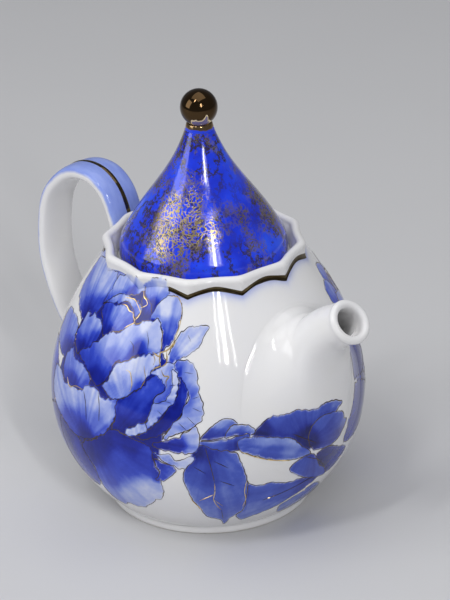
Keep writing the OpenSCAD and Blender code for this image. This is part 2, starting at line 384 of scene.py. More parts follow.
# Top point and under point in the plane of symmetry, and half width, from inside the belly out
SPOUT = [[36, 74, 52, 26, 23], [45, 83.5, 61, 34, 21.5], [50, 89, 66, 44, 18.5],
         [55, 94.2, 68.5, 55, 15.8], [60, 98.5, 69, 67, 13], [64.5, 101.5, 69.3, 78, 10.6],
         [68, 103.5, 73, 86, 9], [70.8, 105.1, 79, 90.6, 8.35], [71.8, 106, 82.6, 92.2, 8.75]]
SPOUT_EGG = 0.08       # width its root loses at the top, as a share
LIP_R = 8.75
POUR_R = 5.5           # radius of the opening in the lip
LIP_TILT = math.radians(40)
SPOUT_FILLET = 17.0    # reach of the blend between spout and belly
SPOUT_STEPS = 360      # columns round the spout
FILLET_ROWS = 54       # rows of its outside that spread over the belly
SHANK_ROWS = 50        # and rows from there to the lip
SPOUT_TURNS = np.arange(SPOUT_STEPS) * 2 * math.pi / SPOUT_STEPS   # 0 on the upper side


def spout_rings(draw_in):
    """Oval rings along the spout, every point of each drawn in by the same amount."""
    rows = spline(SPOUT, 8)
    half = (rows[:, 0:2] - rows[:, 2:4]) / 2
    mid = (rows[:, 0:2] + rows[:, 2:4]) / 2
    tall = np.linalg.norm(half, axis=-1, keepdims=True)
    up = half / tall
    x = mid[:, :1] + (tall - draw_in) * up[:, :1] * np.cos(SPOUT_TURNS)
    z = mid[:, 1:] + (tall - draw_in) * up[:, 1:] * np.cos(SPOUT_TURNS)
    # near the body the ovals are egg-shaped, narrow end up
    egg = SPOUT_EGG * np.linspace(1.15, 0, len(rows)).clip(0, 1)[:, None]
    narrow = 1 - egg * ((1 + np.cos(SPOUT_TURNS)) / 2)**2
    y = (rows[:, 4:] - draw_in) * np.sin(SPOUT_TURNS) * narrow
    return np.stack([x, y, z], axis=-1)


def lip_ring(radius, out):
    """A round ring square to the lip, a distance out from the end of the spout."""
    last = SPOUT[-1]
    x = (last[0] + last[2]) / 2 + out * math.cos(LIP_TILT)
    z = (last[1] + last[3]) / 2 + out * math.sin(LIP_TILT)
    upward = radius * np.cos(SPOUT_TURNS)
    return np.stack([x - upward * math.sin(LIP_TILT), radius * np.sin(SPOUT_TURNS),
                     z + upward * math.cos(LIP_TILT)], axis=-1)


def leave_belly(rails):
    """Where each line along the spout comes out of the belly, and its first ring outside."""
    proud = np.linalg.norm(rails[..., :2], axis=-1) - belly_radius(rails[..., 2])
    first = np.argmax(proud > 0, axis=0)
    crossing = []
    for j, i in enumerate(first):
        t = proud[i - 1, j] / (proud[i - 1, j] - proud[i, j])
        crossing.append(rails[i - 1, j] * (1 - t) + rails[i, j] * t)
    return np.array(crossing), first


def spread_root(crossing, reach):
    """The line on the belly where the blend begins, a reach outside the crossing."""
    normal = belly_normal(crossing)
    away = crossing - crossing.mean(axis=0)
    away[away[:, 2] > 0, 2] *= 0.5     # it spreads sideways more than upwards
    away = unit(away - normal * np.sum(away * normal, axis=-1, keepdims=True))
    root = crossing + reach[:, None] * away
    r = np.linalg.norm(root[:, :2], axis=-1, keepdims=True)
    root[:, :2] *= (belly_radius(root[:, 2]) - 0.12)[:, None] / r
    return root


def points_along(rail, walked, stops):
    """Points at given distances along a line."""
    return np.stack([np.interp(stops, walked, rail[:, k]) for k in range(3)], axis=-1)


def make_spout():
    """The spout as a hollow shell whose root spreads softly over the belly."""
    rails = spout_rings(0)
    crossing, first = leave_belly(rails)
    # the blend is shorter on top, where the collar is near
    reach = SPOUT_FILLET * (1 - 0.5 * np.maximum(np.cos(SPOUT_TURNS), 0))
    root = spread_root(crossing, reach)
    sunk = root - 1.2 * belly_normal(root)
    outer = []
    for j in range(SPOUT_STEPS):
        rail = np.vstack([crossing[j], rails[first[j]:, j]])
        walked = lengths(rail)
        start = min(reach[j], walked[-1] * 0.45)
        join = points_along(rail, walked, start)
        ahead = points_along(rail, walked, start + 1)
        normal = belly_normal(root[j])
        onward = crossing[j] - root[j]
        onward = unit(onward - normal * (onward @ normal))
        fillet = bezier([root[j], root[j] + onward * 0.42 * reach[j],
                         join - (ahead - join) * 0.42 * start, join], FILLET_ROWS)
        rest = np.linspace(start, walked[-1], SHANK_ROWS + 1)[1:]
        outer.append(np.vstack([fillet, points_along(rail, walked, rest)]))
    outer = np.array(outer).transpose(1, 0, 2)
    roll = [(LIP_R - 0.12, 0.55), (LIP_R - 0.45, 1.05), (LIP_R - 0.95, 1.4), (LIP_R - 1.6, 1.55),
            (POUR_R + 1.0, 1.35), (POUR_R + 0.45, 0.95), (POUR_R + 0.1, 0.3), (POUR_R, -1),
            (POUR_R, -4)]
    lip = np.array([lip_ring(radius, out) for radius, out in roll])
    inner = spout_rings(WALL)[24:-8:4][::-1]
    rings = np.concatenate([sunk[None], outer, lip, inner])
    return skin("spout_blended", rings, "pot", ["spout"], looped=True)


# ---- handle ------------------------------------------------------------------------------

# Middle line of the strap: distance behind the axis, and height
STRAP = [[40.5, 91], [44, 102.5], [49.5, 114.5], [59, 119.8], [72, 117.5], [84, 106],
         [88.5, 92], [88.8, 74], [82.2, 56.5], [73, 43.8], [62, 32], [52, 24]]


def strap_path(count):
    """The strap's middle line and its outward direction at each point."""
    path = even(spline(STRAP, 8), count)
    along = unit(np.gradient(path, axis=0))
    return path, np.stack([-along[:, 1], along[:, 0]], axis=-1)


def make_handle():
    """The flat strap with soft edges."""
    path, out = strap_path(150)
    angle = np.arange(40) * 2 * math.pi / 40
    soft = 0.62        # less than one squares the section up
    wide = STRAP_W / 2 * np.sign(np.cos(angle)) * np.abs(np.cos(angle))**soft
    deep = STRAP_T / 2 * np.sign(np.sin(angle)) * np.abs(np.sin(angle))**soft
    x = path[:, :1] + out[:, :1] * deep
    z = path[:, 1:] + out[:, 1:] * deep
    y = np.broadcast_to(wide, x.shape)
    rings = np.stack([-x, y, z], axis=-1)[:, ::-1]
    piece = skin("handle_strap", rings, "pot", ["handle"])
    face = np.broadcast_to(deep[::-1] / (STRAP_T / 2), x.shape).reshape(-1)
    add_attribute(piece, "outer_face", face)
    return piece


# ---- gilding on rim and handle -----------------------------------------------------------

LINE_FROM = -21.0      # the rim's gold line runs round the back from here
LINE_TO = 268.0        # to here, and the peony's petals cover the rest


def make_rim_line():
    """The gold line laid by hand in the crease under the fluted wall."""
    count = FLUTES * 44
    azimuth = FRONT + np.linspace(LINE_FROM, LINE_TO, count)
    crease = crease_s(azimuth)
    up = 1.0 + 0.12 * noise_line(3, count, 24)
    down = 1.0 + 0.14 * noise_line(4, count, 24)
    edge = [(-down, -0.3), (-down, 0.08), (-down * 0.4, 0.2), (0 * up, 0.3), (up * 0.5, 0.2),
            (up, 0.08), (up, -0.3)]
    rings = np.stack([on_surface(azimuth, crease + shift, lift) for shift, lift in edge], axis=1)
    return skin("rim_gilding", rings, "pot", ["rim_gold_line"])


def make_strap_line():
    """The gold line along the middle of the strap's outer face."""
    path, out = strap_path(220)
    start = int(np.argmax(path[:, 1] > STRAP_LINE_START))
    stop = len(path) - int(np.argmax(path[::-1, 1] > STRAP_LINE_END))
    path = path[start:stop]
    out = out[start:stop]
    half = 0.95 + 0.06 * noise_line(5, len(path), 16)
    taper = np.clip(from_ends(len(path)) / 5, 0.25, 1)
    ring = [(-1, -0.4), (-1, 0.05), (-0.5, 0.2), (0, 0.25), (0.5, 0.2), (1, 0.05), (1, -0.4)]
    rings = []
    for side, lift in ring:
        deep = STRAP_T / 2 + lift
        rings.append(np.stack([-(path[:, 0] + out[:, 0] * deep), side * half * taper,
                               path[:, 1] + out[:, 1] * deep], axis=-1))
    rings = np.stack(rings, axis=1)
    return skin("handle_gilding", rings, "pot", ["handle_gold_line"])


# ---- lid ---------------------------------------------------------------------------------

LID_EDGE = bezier([[LID_R - 1.4, LID_Z], [LID_R + 0.2, LID_Z + 0.2], [LID_R + 0.3, LID_Z + 4.6],
                   [LID_R - 1.1, LID_Z + 9]], 16)
LID_SLOPE = bezier([[LID_R - 1.1, LID_Z + 9], [21, 131], [12, 137], [5.6, LID_TOP]], 60)


def make_lid():
    """The cone of the lid, hollow and open below."""
    outside = np.vstack([LID_EDGE, LID_SLOPE[1:]])
    hollow = LID_SLOPE[::4] - [WALL * 0.9, 1.2]
    hollow = hollow[hollow[:, 0] > 2][::-1]
    profile = np.vstack([outside, [4.4, LID_TOP + 0.1], [1.5, LID_TOP + 0.1],
                         [1.5, hollow[0][1] + 1.5], hollow, [FLANGE_R - 0.5, LID_Z + 4],
                         [FLANGE_R - 0.5, LID_Z + 0.2], [LID_R - 2.4, LID_Z]])
    return skin("lid_painted", turned(profile, 300), "lid", ["lid_cone"],
                looped=True)


def make_flange():
    """The ring under the lid that drops into the seat."""
    low = FLANGE_Z
    profile = [[FLANGE_R - 3, low + 0.4], [FLANGE_R - 2.6, low], [FLANGE_R - 1, low],
               [FLANGE_R - 0.3, low + 0.3], [FLANGE_R, low + 1], [FLANGE_R, LID_Z + 3.4],
               [FLANGE_R - 3, LID_Z + 3.4]]
    return skin("flange", turned(profile, 256), "lid", ["lid_flange"],
                looped=True)


def make_neck():
    """The short neck that carries the cone on up to the knob."""
    top = LID_TOP + 2.9
    shape = np.vstack([[3.5, LID_TOP - 0.6], [5.5, LID_TOP - 0.4],
                       bezier([[5.5, LID_TOP], [5.4, LID_TOP + 0.7], [5.3, LID_TOP + 1.6],
                               [4.9, top - 0.3]], 12), [4.5, top], [3.0, top]])
    return skin("neck", turned(shape, 120), "lid", ["knob_neck"])


def make_knob():
    """The gilded ball, with the place of the small window left in its gilding."""
    rows = 90
    columns = 160
    tilt = np.linspace(-math.pi / 2 + 0.03, math.pi / 2 - 0.03, rows)
    profile = np.stack([KNOB_R * np.cos(tilt), KNOB_Z + KNOB_R * np.sin(tilt)], axis=-1)
    rings = turned(profile, columns)
    piece = skin("knob", rings, "lid", ["lid_knob"])
    verts = rings.reshape(-1, 3)
    turn = from_front(azimuth_of(verts))
    height = verts[:, 2] - (KNOB_Z - 4.9)
    ragged = np.tile(0.07 * noise_line(21, columns, 5), rows)
    spike = 0.9 * np.exp(-((turn - 24) / 7)**2) * np.clip(height - 0.5, 0, 2.6) / 2.6
    add_attribute(piece, "patch", np.hypot((turn - 6) / 56, height / 2.5) + ragged - spike)
    return piece


# ---- painting ----------------------------------------------------------------------------

FLAT = math.pi / 180 * BELLY_R   # millimetres along the belly for one degree
EDGE_STEP = 0.6                  # spacing of the points along a painted outline
STREAKS = 720                    # steps round the compass in the noise of the brush strokes


def flat(points):
    """Painted outlines in millimetres on the unrolled belly."""
    return np.array(points, float) * [FLAT, 1]


class Shape:
    """One petal or leaf: its wobbling outline, where its brush strokes start, and its tones."""

    def __init__(self, seed, base, tones, outline, ragged=0.35, frill=0.5, leaf=0.0, near=True):
        rng = np.random.default_rng(seed)
        loop = spline(flat(outline), 7, closed=True)
        loop = np.vstack([loop, loop[:1]])
        edge = even(loop, int(lengths(loop)[-1] / EDGE_STEP))[:-1]
        ahead = np.roll(edge, -1, axis=0) - np.roll(edge, 1, axis=0)
        side = unit(np.stack([ahead[:, 1], -ahead[:, 0]], axis=-1))
        nicks = rng.standard_normal(len(edge)) * (rng.random(len(edge)) < 0.5)
        wobble = ragged * (0.55 * noise_line(seed, len(edge), 5) + 0.5 * nicks)
        walked = lengths(np.vstack([edge, edge[:1]]))[:-1]
        slow = np.clip(0.5 + 0.6 * noise_line(seed + 50, len(edge), 14), 0, 1.4)
        frill = frill * slow * (0.6 - np.abs(np.sin(walked * math.pi / 2.7 + seed + slow)))
        self.edge = edge + side * (wobble + frill)[:, None]
        self.base = flat([base])[0]
        self.spots = flat([t[:2] for t in tones])
        self.tones = np.array([t[2] for t in tones], float)
        self.streaks = noise_line(seed + 500, STREAKS, 16)
        self.fine = noise_line(seed + 900, STREAKS, 4)
        self.leaf = leaf
        self.near = near       # painted from the front, so carried over the root of the spout

    def inside(self, x, y):
        """Signed distance into the shape: positive inside, negative outside."""
        depth = np.full(x.shape, -9.0)
        low = self.edge.min(axis=0) - 1
        high = self.edge.max(axis=0) + 1
        near = (x > low[0]) & (x < high[0]) & (y > low[1]) & (y < high[1])
        q = np.stack([x[near], y[near]], axis=-1)
        if len(q) == 0:
            return depth
        best = np.full(len(q), 1e9)
        odd = np.zeros(len(q), bool)
        for a, b in zip(self.edge, np.roll(self.edge, -1, axis=0)):
            run = b - a
            t = np.clip((q - a) @ run / max(run @ run, 1e-9), 0, 1)
            best = np.minimum(best, np.sum((a + t[:, None] * run - q)**2, axis=-1))
            straddles = (a[1] > q[:, 1]) != (b[1] > q[:, 1])
            if a[1] != b[1]:
                cut = a[0] + (q[:, 1] - a[1]) / (b[1] - a[1]) * run[0]
                odd ^= straddles & (q[:, 0] < cut)
        depth[near] = np.sqrt(best) * np.where(odd, 1, -1)
        return depth

    def tone(self, x, y):
        """How dark the blue is, from 0 pale to 1 navy, with streaks spreading from the base."""
        q = np.stack([x, y], axis=-1)
        away = np.sum((q[:, None, :] - self.spots)**2, axis=-1) + 1.5
        weight = away**-1.8
        tone = weight @ self.tones / weight.sum(axis=-1)
        spread = q - self.base
        angle = np.degrees(np.arctan2(spread[:, 1], spread[:, 0])) % 360
        far = np.clip(np.linalg.norm(spread, axis=-1) / 8, 0, 1)
        turn = np.arange(STREAKS) * 360 / STREAKS
        coarse = np.interp(angle, turn, self.streaks, period=360)
        fine = np.interp(angle, turn, self.fine, period=360)
        return tone + far * (0.036 * coarse + 0.012 * fine)


# The great peony, from its back petals to its front ones:
# (where the strokes start, [(degrees, distance up, tone) ...], outline)
PEONY = [
    ((-66, 88), [(-66, 90, 0.85), (-88, 96, 0.45), (-66, 108, 0.12), (-80, 108, 0.15), (-61, 106, 0.2),
                 (-60, 97, 0.7)],
     [(-92, 108), (-80, 111.5), (-68, 112), (-58.5, 111), (-57.5, 104), (-59, 97), (-62, 91),
      (-68, 88), (-76, 90), (-88, 94)]),
    ((-50, 95), [(-43, 108, 0.65), (-54, 108, 0.15), (-45, 113, 0.05), (-56, 102, 0.4), (-37, 112, 0.1)],
     [(-57, 111), (-52, 113), (-45, 114.5), (-40, 114.5), (-36, 113), (-34, 110), (-38, 108),
      (-46, 105.5), (-53, 103), (-58.5, 99.5), (-58, 105)]),
    ((-28, 98), [(-28, 105, 0.75), (-32, 110, 0.3), (-26, 114, 0.05), (-22, 110, 0.2)],
     [(-35.5, 111), (-33, 114.5), (-29, 116), (-24, 116.5), (-21, 113), (-20.5, 109),
      (-24, 106), (-28, 103)]),
    ((-33, 94), [(-31, 100, 0.95), (-34, 105, 0.8), (-29, 105, 0.7)],
     [(-35, 107), (-31, 106), (-28, 103), (-27.5, 100), (-30, 98), (-34, 97), (-36, 98.5),
      (-34, 102)]),
    ((-19, 86), [(-18, 91, 0.75), (-16, 98, 0.5), (-21, 105, 0.0), (-15, 106, 0.2),
                 (-26, 101, 0.3)],
     [(-27.8, 100), (-27, 103), (-24.3, 107.5), (-20, 110), (-15, 109.5), (-12.3, 106),
      (-12.3, 101.4), (-13.7, 96.8), (-14.8, 93), (-18, 89.5), (-20, 88), (-20, 93),
      (-20.8, 96.8), (-23.6, 99.8)]),
    ((-46, 94), [(-52, 102.5, 0.3), (-44, 105, 0.1), (-35, 101, 0.3)],
     [(-59, 99), (-54, 103), (-47, 106), (-40, 105.5), (-35.5, 104.5), (-33.8, 101.5),
      (-36, 99), (-38, 101.5), (-44, 103.5), (-50, 101.5), (-54, 100.8)]),
    ((-50, 84), [(-55, 97, 0.75), (-49, 89, 0.9), (-46, 97, 0.35), (-39, 98, 0.45),
                 (-44, 101.5, 0.25)],
     [(-57.4, 99.5), (-53.9, 100.6), (-49, 101), (-44.7, 102.5), (-40.5, 101.4),
      (-37.7, 100.6), (-36.3, 97.5), (-38.4, 94.5), (-42, 92), (-46, 91), (-49.7, 88),
      (-52.5, 90.6), (-54.6, 93.7), (-56.7, 95.2)]),
    ((-58, 72), [(-60, 77, 0.95), (-54, 85, 0.6), (-64, 90, 0.3), (-56, 92, 0.15)],
     [(-67, 92), (-65.2, 93), (-63.8, 91.4), (-61.3, 93.7), (-58.8, 93), (-55.3, 93),
      (-53.2, 91.4), (-52.1, 88), (-53.9, 83.7), (-58.8, 79), (-63, 76.4), (-66, 79),
      (-68.7, 83), (-67.3, 87.5)]),
    ((-48, 62), [(-48, 71, 0.95), (-55, 77, 0.6), (-43, 82, 0.5), (-30, 87, 0.7),
                 (-38, 91, 0.10), (-27, 96, 0.04), (-46, 88, 0.2), (-22, 91, 0.12)],
     [(-62, 77), (-56, 82), (-52, 86), (-47, 90.5), (-42, 91.5), (-38, 95.5), (-33, 97.5),
      (-27, 99.5), (-23.5, 100), (-21, 96), (-20, 91), (-20.5, 88), (-26, 86.5), (-31, 85),
      (-35, 82.5), (-39.5, 80.5), (-41, 76), (-43, 72), (-46, 69), (-49, 70), (-53, 73.5),
      (-58, 75.5)]),
    ((-72, 64), [(-70, 73, 0.9), (-84, 80, 0.4), (-72, 85, 0.3)],
     [(-90, 84), (-80, 86.5), (-74, 87), (-70, 85), (-68, 80), (-66, 76), (-68, 72),
      (-72, 70), (-80, 71), (-90, 73)]),
    ((-60, 58), [(-66, 75, 0.4), (-58, 72, 0.3), (-60, 65, 0.8), (-53, 68, 0.45)],
     [(-70.8, 70.6), (-69.4, 74.5), (-66.6, 76.8), (-63.8, 74), (-60.3, 74.5), (-56.7, 74),
      (-53.2, 73), (-50.7, 70.6), (-50.7, 67.5), (-53.2, 64.8), (-58.8, 63.7), (-63, 63),
      (-67.3, 63.7), (-70, 66)]),
    ((-52, 50), [(-50, 42, 1.0), (-56, 38, 0.8), (-64, 40, 0.95), (-56, 22, 0.7)],
     [(-68, 48), (-58, 45.5), (-52, 42), (-49, 34), (-48, 28), (-50, 22), (-55, 19), (-62, 22),
      (-68, 30)]),
    ((-50, 44), [(-50, 47, 0.95), (-60, 48, 0.7), (-70, 58, 0.2), (-60, 61, 0.12),
                 (-45, 65, 0.12), (-38, 63, 0.2), (-44, 54, 0.4)],
     [(-77.9, 63.7), (-73, 65.2), (-67.3, 63), (-63, 63), (-58.8, 63.7), (-53.9, 64.5),
      (-51.8, 67.2), (-46.9, 68.3), (-43.3, 66), (-37.7, 66.4), (-35.6, 66), (-35.6, 60.6),
      (-38.4, 54.5), (-42, 50), (-49, 46), (-56.7, 44.5), (-65.9, 46.8), (-73, 49.8),
      (-77.9, 54.5)]),
    ((-38, 50), [(-34, 57, 0.95), (-31, 66, 0.75), (-24, 74, 0.5), (-22, 64, 0.75)],
     [(-36, 66), (-31, 70), (-27, 73), (-24, 77), (-21, 79), (-18, 79), (-17, 74), (-19, 71),
      (-21, 68), (-22, 64), (-24, 60), (-30, 57), (-34, 53), (-37, 54), (-36, 60)]),
    ((-46, 52), [(-41, 49, 1.0), (-30, 51, 0.9), (-47, 40, 0.95), (-33, 42, 0.6),
                 (-24, 29, 0.08), (-34, 22, 0.15), (-45, 17, 0.4), (-22, 44, 0.65),
                 (-42, 30, 0.6)],
     [(-42, 50), (-38, 54), (-34, 54.5), (-28, 53), (-22, 51.5), (-20.5, 46), (-19.5, 42),
      (-18.5, 38), (-18, 33), (-18, 29), (-20, 25.5), (-24, 21.5), (-28, 17), (-33, 14.5),
      (-38, 15), (-42, 11.5), (-47, 13), (-49, 20), (-48, 28), (-49, 34), (-53, 41),
      (-50, 44.5)]),
    ((-24, 48), [(-24, 55, 1.0), (-14, 64, 0.9), (-9, 76, 0.7)],
     [(-11, 80), (-9, 79), (-8, 75), (-8.5, 70), (-10, 66), (-12, 62), (-16, 58), (-20, 55.5),
      (-24, 53.5), (-27, 54.5), (-22, 58), (-17, 64), (-13, 70), (-11.5, 75)]),
    ((-30, 62), [(-27, 72, 0.65), (-40, 69, 0.4), (-34, 80, 0.05), (-22, 86, 0.05),
                 (-26, 82, 0.1), (-40, 77, 0.12), (-33, 75, 0.2)],
     [(-39, 80.2), (-34.9, 82.2), (-30.6, 84.8), (-24.3, 86.4), (-20, 88), (-20, 83),
      (-22.9, 80.6), (-25, 76.8), (-27.1, 73.3), (-30.6, 70.6), (-34.9, 67.5), (-39, 66.8),
      (-44, 69.8), (-41.6, 73), (-40.5, 76.8)]),
    ((-18, 82), [(-15, 86, 0.4), (-9, 92, 0.1), (0, 98, 0.25), (-6, 98, 0.1)],
     [(-16.5, 87.5), (-14.4, 92), (-12.3, 95.6), (-8.8, 98), (-3.8, 99), (1.5, 99),
      (-0.3, 96), (-3.1, 91.4), (-6.7, 88.7), (-10.2, 86.8), (-13.7, 84.8), (-16, 84.5)]),
    ((-20, 62), [(-13, 81, 0.5), (-8, 72, 0.55), (-4, 70, 0.2), (-5, 80, 0.15),
                 (-10, 61, 0.2)],
     [(-13.7, 84.5), (-9.5, 86), (-6, 84.5), (-4.2, 81.4), (-3.8, 76), (-2.1, 69.8),
      (-2.4, 65.2), (-5.2, 61), (-9.5, 58.3), (-13.7, 56.4), (-16.5, 55.2), (-15.1, 58.3),
      (-12.3, 62), (-10.5, 65.2), (-9.5, 68.3), (-7.7, 71.4), (-8.1, 76), (-10.2, 79),
      (-12.3, 80)]),
    ((-20, 70), [(-15, 74, 0.4), (-18, 82, 0.15), (-13, 80, 0.2)],
     [(-23, 80), (-18.5, 83), (-15.5, 84.5), (-12.5, 82), (-12, 77), (-13.5, 72), (-17, 69),
      (-21, 68.5), (-20, 71.5), (-17, 74), (-18, 78)]),
    ((-26, 68), [(-20, 66, 0.3), (-13, 79, 0.12), (-21, 60, 0.15)],
     [(-14, 82), (-12, 80), (-11.5, 75), (-13, 70), (-16, 66), (-19, 62), (-22, 58.5),
      (-23, 60), (-22, 64), (-21, 68), (-17, 69.5), (-14, 74)]),
    ((-28, 66), [(-27, 57, 0.08), (-24, 59, 0.2)],
     [(-31.3, 55.2), (-29.6, 57.5), (-27.5, 58.3), (-26.4, 59.5), (-23.6, 59.8),
      (-22.5, 58.3), (-24.3, 56.4), (-27.1, 54.8), (-29.6, 53.8)]),
    ((-24, 54), [(-17, 52, 0.95), (-11, 53, 0.8), (-6, 56, 0.15), (-6, 51, 0.3)],
     [(-5.2, 60.6), (-3.8, 56.8), (-4.2, 53), (-6, 50.2), (-9.5, 49.8), (-14.4, 50.2),
      (-19.4, 51.4), (-20, 52.5), (-16.5, 54.5), (-12.3, 56), (-8.8, 58.3)]),
    ((-22, 52), [(-17, 48, 0.2), (-9, 45, 0.1)],
     [(-20, 49), (-17.9, 48.7), (-14.4, 49), (-13, 47.2), (-10.9, 46.4), (-8.8, 48.3),
      (-6, 49), (-6.7, 46), (-9.1, 43), (-13, 43.7), (-16.5, 45.6)]),
    ((-22, 48), [(-19, 44, 0.75), (-14, 41, 0.5)],
     [(-20, 46), (-17, 45), (-13, 43.5), (-12.5, 41), (-15, 38.5), (-18, 36.5), (-20, 37),
      (-18.5, 40), (-19.5, 43)]),
]

# The spray of leaves under the spout, in the same terms
LEAVES = [
    ((58, 32), [(50, 36, 0.85), (60, 30, 0.75)],
     [(41, 39), (47, 40), (54, 36), (58, 34), (62, 30), (56, 24), (50, 24), (45, 28),
      (42, 34)]),
    ((58, 20), [(36, 8, 0.35), (50, 12, 0.5)],
     [(30.5, 12), (34, 15), (40, 18), (46, 20), (52, 16), (56, 8), (52, 3), (44, 2.5),
      (36, 3), (32, 6)]),
    ((50, 28), [(40, 25, 0.7), (28, 24, 0.55), (20, 28, 0.5), (14, 12, 0.35), (26, 14, 0.4)],
     [(11, 42.3), (13.1, 34.6), (18.4, 32), (22.3, 32.3), (29.4, 29.2), (35.7, 28.8),
      (42, 27), (47, 27.7), (45.6, 24), (40, 20), (33.6, 17), (29.4, 13.8), (22.3, 10.8),
      (16.7, 8.5), (13.1, 7), (10.3, 10.8), (10.3, 13.8), (12.8, 19.2)]),
    ((38, 46), [(41, 38, 0.7), (36, 36, 0.55), (46, 32, 0.6)],
     [(31.5, 39.2), (37.8, 40.8), (41.4, 37), (43.5, 32.3), (47, 29.2), (50.5, 23),
      (40, 27), (29.4, 35.4)]),
    ((36, 44), [(18, 56.5, 0.95), (37, 49, 1.0), (28, 57, 0.6), (40, 57, 0.5), (54, 56, 0.4),
                (26, 60.5, 0.45)],
     [(15.2, 55.8), (19, 60), (22.6, 61.5), (27.5, 61.2), (33.8, 61.2), (40.2, 59.2),
      (46.5, 59.4), (51.1, 58.5), (55, 56.2), (51.8, 54.2), (45.1, 52), (42, 46),
      (38, 43), (33, 44), (26, 50), (18, 54)]),
    ((36, 46), [(38, 46, 1.0), (46, 47, 0.65), (54, 50, 0.45), (44, 53, 0.5), (52, 43, 0.75)],
     [(36.7, 50), (40.2, 54.2), (45.1, 55), (50.1, 53.8), (54.6, 52), (55.7, 48.5),
      (57.5, 47), (55.3, 43.8), (52.2, 40.8), (47.9, 40), (43, 40.8), (38.8, 42.3),
      (36.7, 46.2)]),
    ((-3, 54), [(-1, 57, 0.7), (4, 62, 0.2), (8, 61, 0.25), (3, 57, 0.6)],
     [(-2.8, 55.4), (-2.5, 57.7), (-0.4, 59.6), (2.1, 62.3), (5.3, 63.5), (8.5, 63),
      (10.2, 60.8), (7, 58.5), (5, 56)]),
    ((10, 54), [(10, 57, 0.6), (9, 60.5, 0.2), (14, 59, 0.3)],
     [(5, 56), (8, 60.5), (12.7, 60.5), (14.8, 59.2), (16.2, 57.3), (14.5, 55.5),
      (9, 56.5)]),
    ((-8, 54), [(0, 54, 0.35), (12, 54, 0.45), (10, 52, 0.7)],
     [(-4, 54.8), (5, 55.2), (9, 55.8), (14, 56), (10, 50.5), (0, 50.5), (-3, 53)]),
    ((4, 54), [(11, 53, 0.45), (20, 52, 0.25), (32, 48, 0.2), (20, 46, 0.55), (34, 42, 0.45)],
     [(10.3, 54.6), (19.5, 54.2), (29.4, 50.8), (33.6, 46.2), (37.8, 41.5), (30.8, 40.8),
      (22.3, 43.5), (15.3, 47), (10.3, 50)]),
    ((0, 56), [(-2, 51, 0.85), (1, 40, 0.65), (-5, 42, 0.5), (-7, 30, 0.35), (-3, 18, 0.3),
               (8, 44, 0.45), (10, 34, 0.45), (7, 20, 0.5), (6, 30, 0.45), (5, 6, 0.45)],
     [(-4, 53), (-9, 44), (-10, 38), (-8.5, 31), (-6, 23), (-3.5, 16), (-2.5, 13.5),
      (1, 11), (3.5, 9), (5, 4), (6, 4), (7, 9.5), (9, 12.5), (12.5, 18), (13, 25),
      (13, 34), (11, 43), (9.5, 49), (8, 50), (1, 51.5)]),
]


# Petals of the great peony that turn away round the side, over its dark heart
SIDE_PETALS = [
    ((-36, 70), [(-36, 60, 0.9), (-60, 80, 0.8), (-20, 85, 0.8)],
     [(-74, 58), (-70, 80), (-66, 96), (-58, 108), (-44, 111), (-30, 112), (-24, 104),
      (-19, 88), (-12, 78), (-9, 66), (-16, 57), (-20, 44), (-34, 40), (-52, 42),
      (-66, 46)]),
    ((-84, 84), [(-90, 66, 0.45), (-78, 56, 0.75), (-96, 52, 0.3)],
     [(-99, 66), (-88, 71), (-76, 66), (-68, 52), (-72, 43), (-85, 39), (-96, 45),
      (-101, 56)]),
    ((-66, 54), [(-70, 44, 0.9), (-82, 34, 0.4), (-70, 24, 0.35)],
     [(-91, 41), (-82, 46), (-68, 50), (-60, 38), (-62, 24), (-72, 18), (-84, 22),
      (-91, 31)]),
]

# Two petals of the far flower that show beyond the spout, dark partly in their own blue and partly as
# painted shade and dark reflection of the side turning away
FAR_PETALS = [
    ((80, 56), [(64, 66, 0.75), (68, 73, 0.75), (76, 62, 1.0)],
     [(62.8, 69.2), (64.9, 73.5), (68.4, 75), (80, 70), (88, 60), (78, 56), (70, 59),
      (61.7, 62)]),
    ((78, 48), [(62, 50, 0.75), (60, 42, 0.8), (70, 46, 0.95), (78, 42, 1.0)],
     [(61.7, 59.2), (66, 58.3), (75, 54.5), (86, 46), (82, 36), (66, 33), (57, 37),
      (56.8, 43.8), (59.2, 51.5)]),
]

FAR_SIZE = 0.87        # the far flower against the great peony


def mirrored(p):
    """A point of the great peony carried round to the far flower, with any tone it has."""
    return (100 - (p[0] + 40) * FAR_SIZE, 60 + (p[1] - 68) * FAR_SIZE) + tuple(p[2:])


def place_shapes():
    """Every painted shape, back to front: far flower, petals round the sides, leaves, peony."""
    shapes = []
    for k, (base, tones, outline) in enumerate(PEONY):
        # the far flower is painted darker than the great peony, partly as painted shade and dark
        # reflection of the side turning away from the light
        darker = [mirrored(t[:2]) + (0.35 + 0.6 * t[2],) for t in tones]
        shapes.append(Shape(400 + k, mirrored(base), darker, [mirrored(p) for p in outline],
                            near=False))
    shapes += [Shape(60 + k, *petal) for k, petal in enumerate(SIDE_PETALS)]
    shapes += [Shape(80 + k, *petal, near=False) for k, petal in enumerate(FAR_PETALS)]
    shapes += [Shape(300 + k, *leaf, ragged=0.2, frill=0.15, leaf=1.0)
               for k, leaf in enumerate(LEAVES)]
    shapes += [Shape(100 + k, *petal) for k, petal in enumerate(PEONY)]
    return shapes


SHAPES = place_shapes()


# The painter worked from the front and a little above, straight across the root of the spout
BRUSH_RISE = math.radians(27)
BRUSH = np.array([math.cos(math.radians(FRONT)) * math.cos(BRUSH_RISE),
                  math.sin(math.radians(FRONT)) * math.cos(BRUSH_RISE),
                  math.sin(BRUSH_RISE)])
SPOUT_FROM = 5         # degrees round from the painted front between which the spout can be
SPOUT_TO = 100         # in the way of the brush
FAR_SIDE = 56.0        # and where its far side begins
SPOUT_STANDS = 40      # how far the spout stands off the belly, along the brush
FILLET_STANDS = 12     # and its root, straight out
WHITE_FROM = 66        # distance up the belly from which the brush leaves the spout white


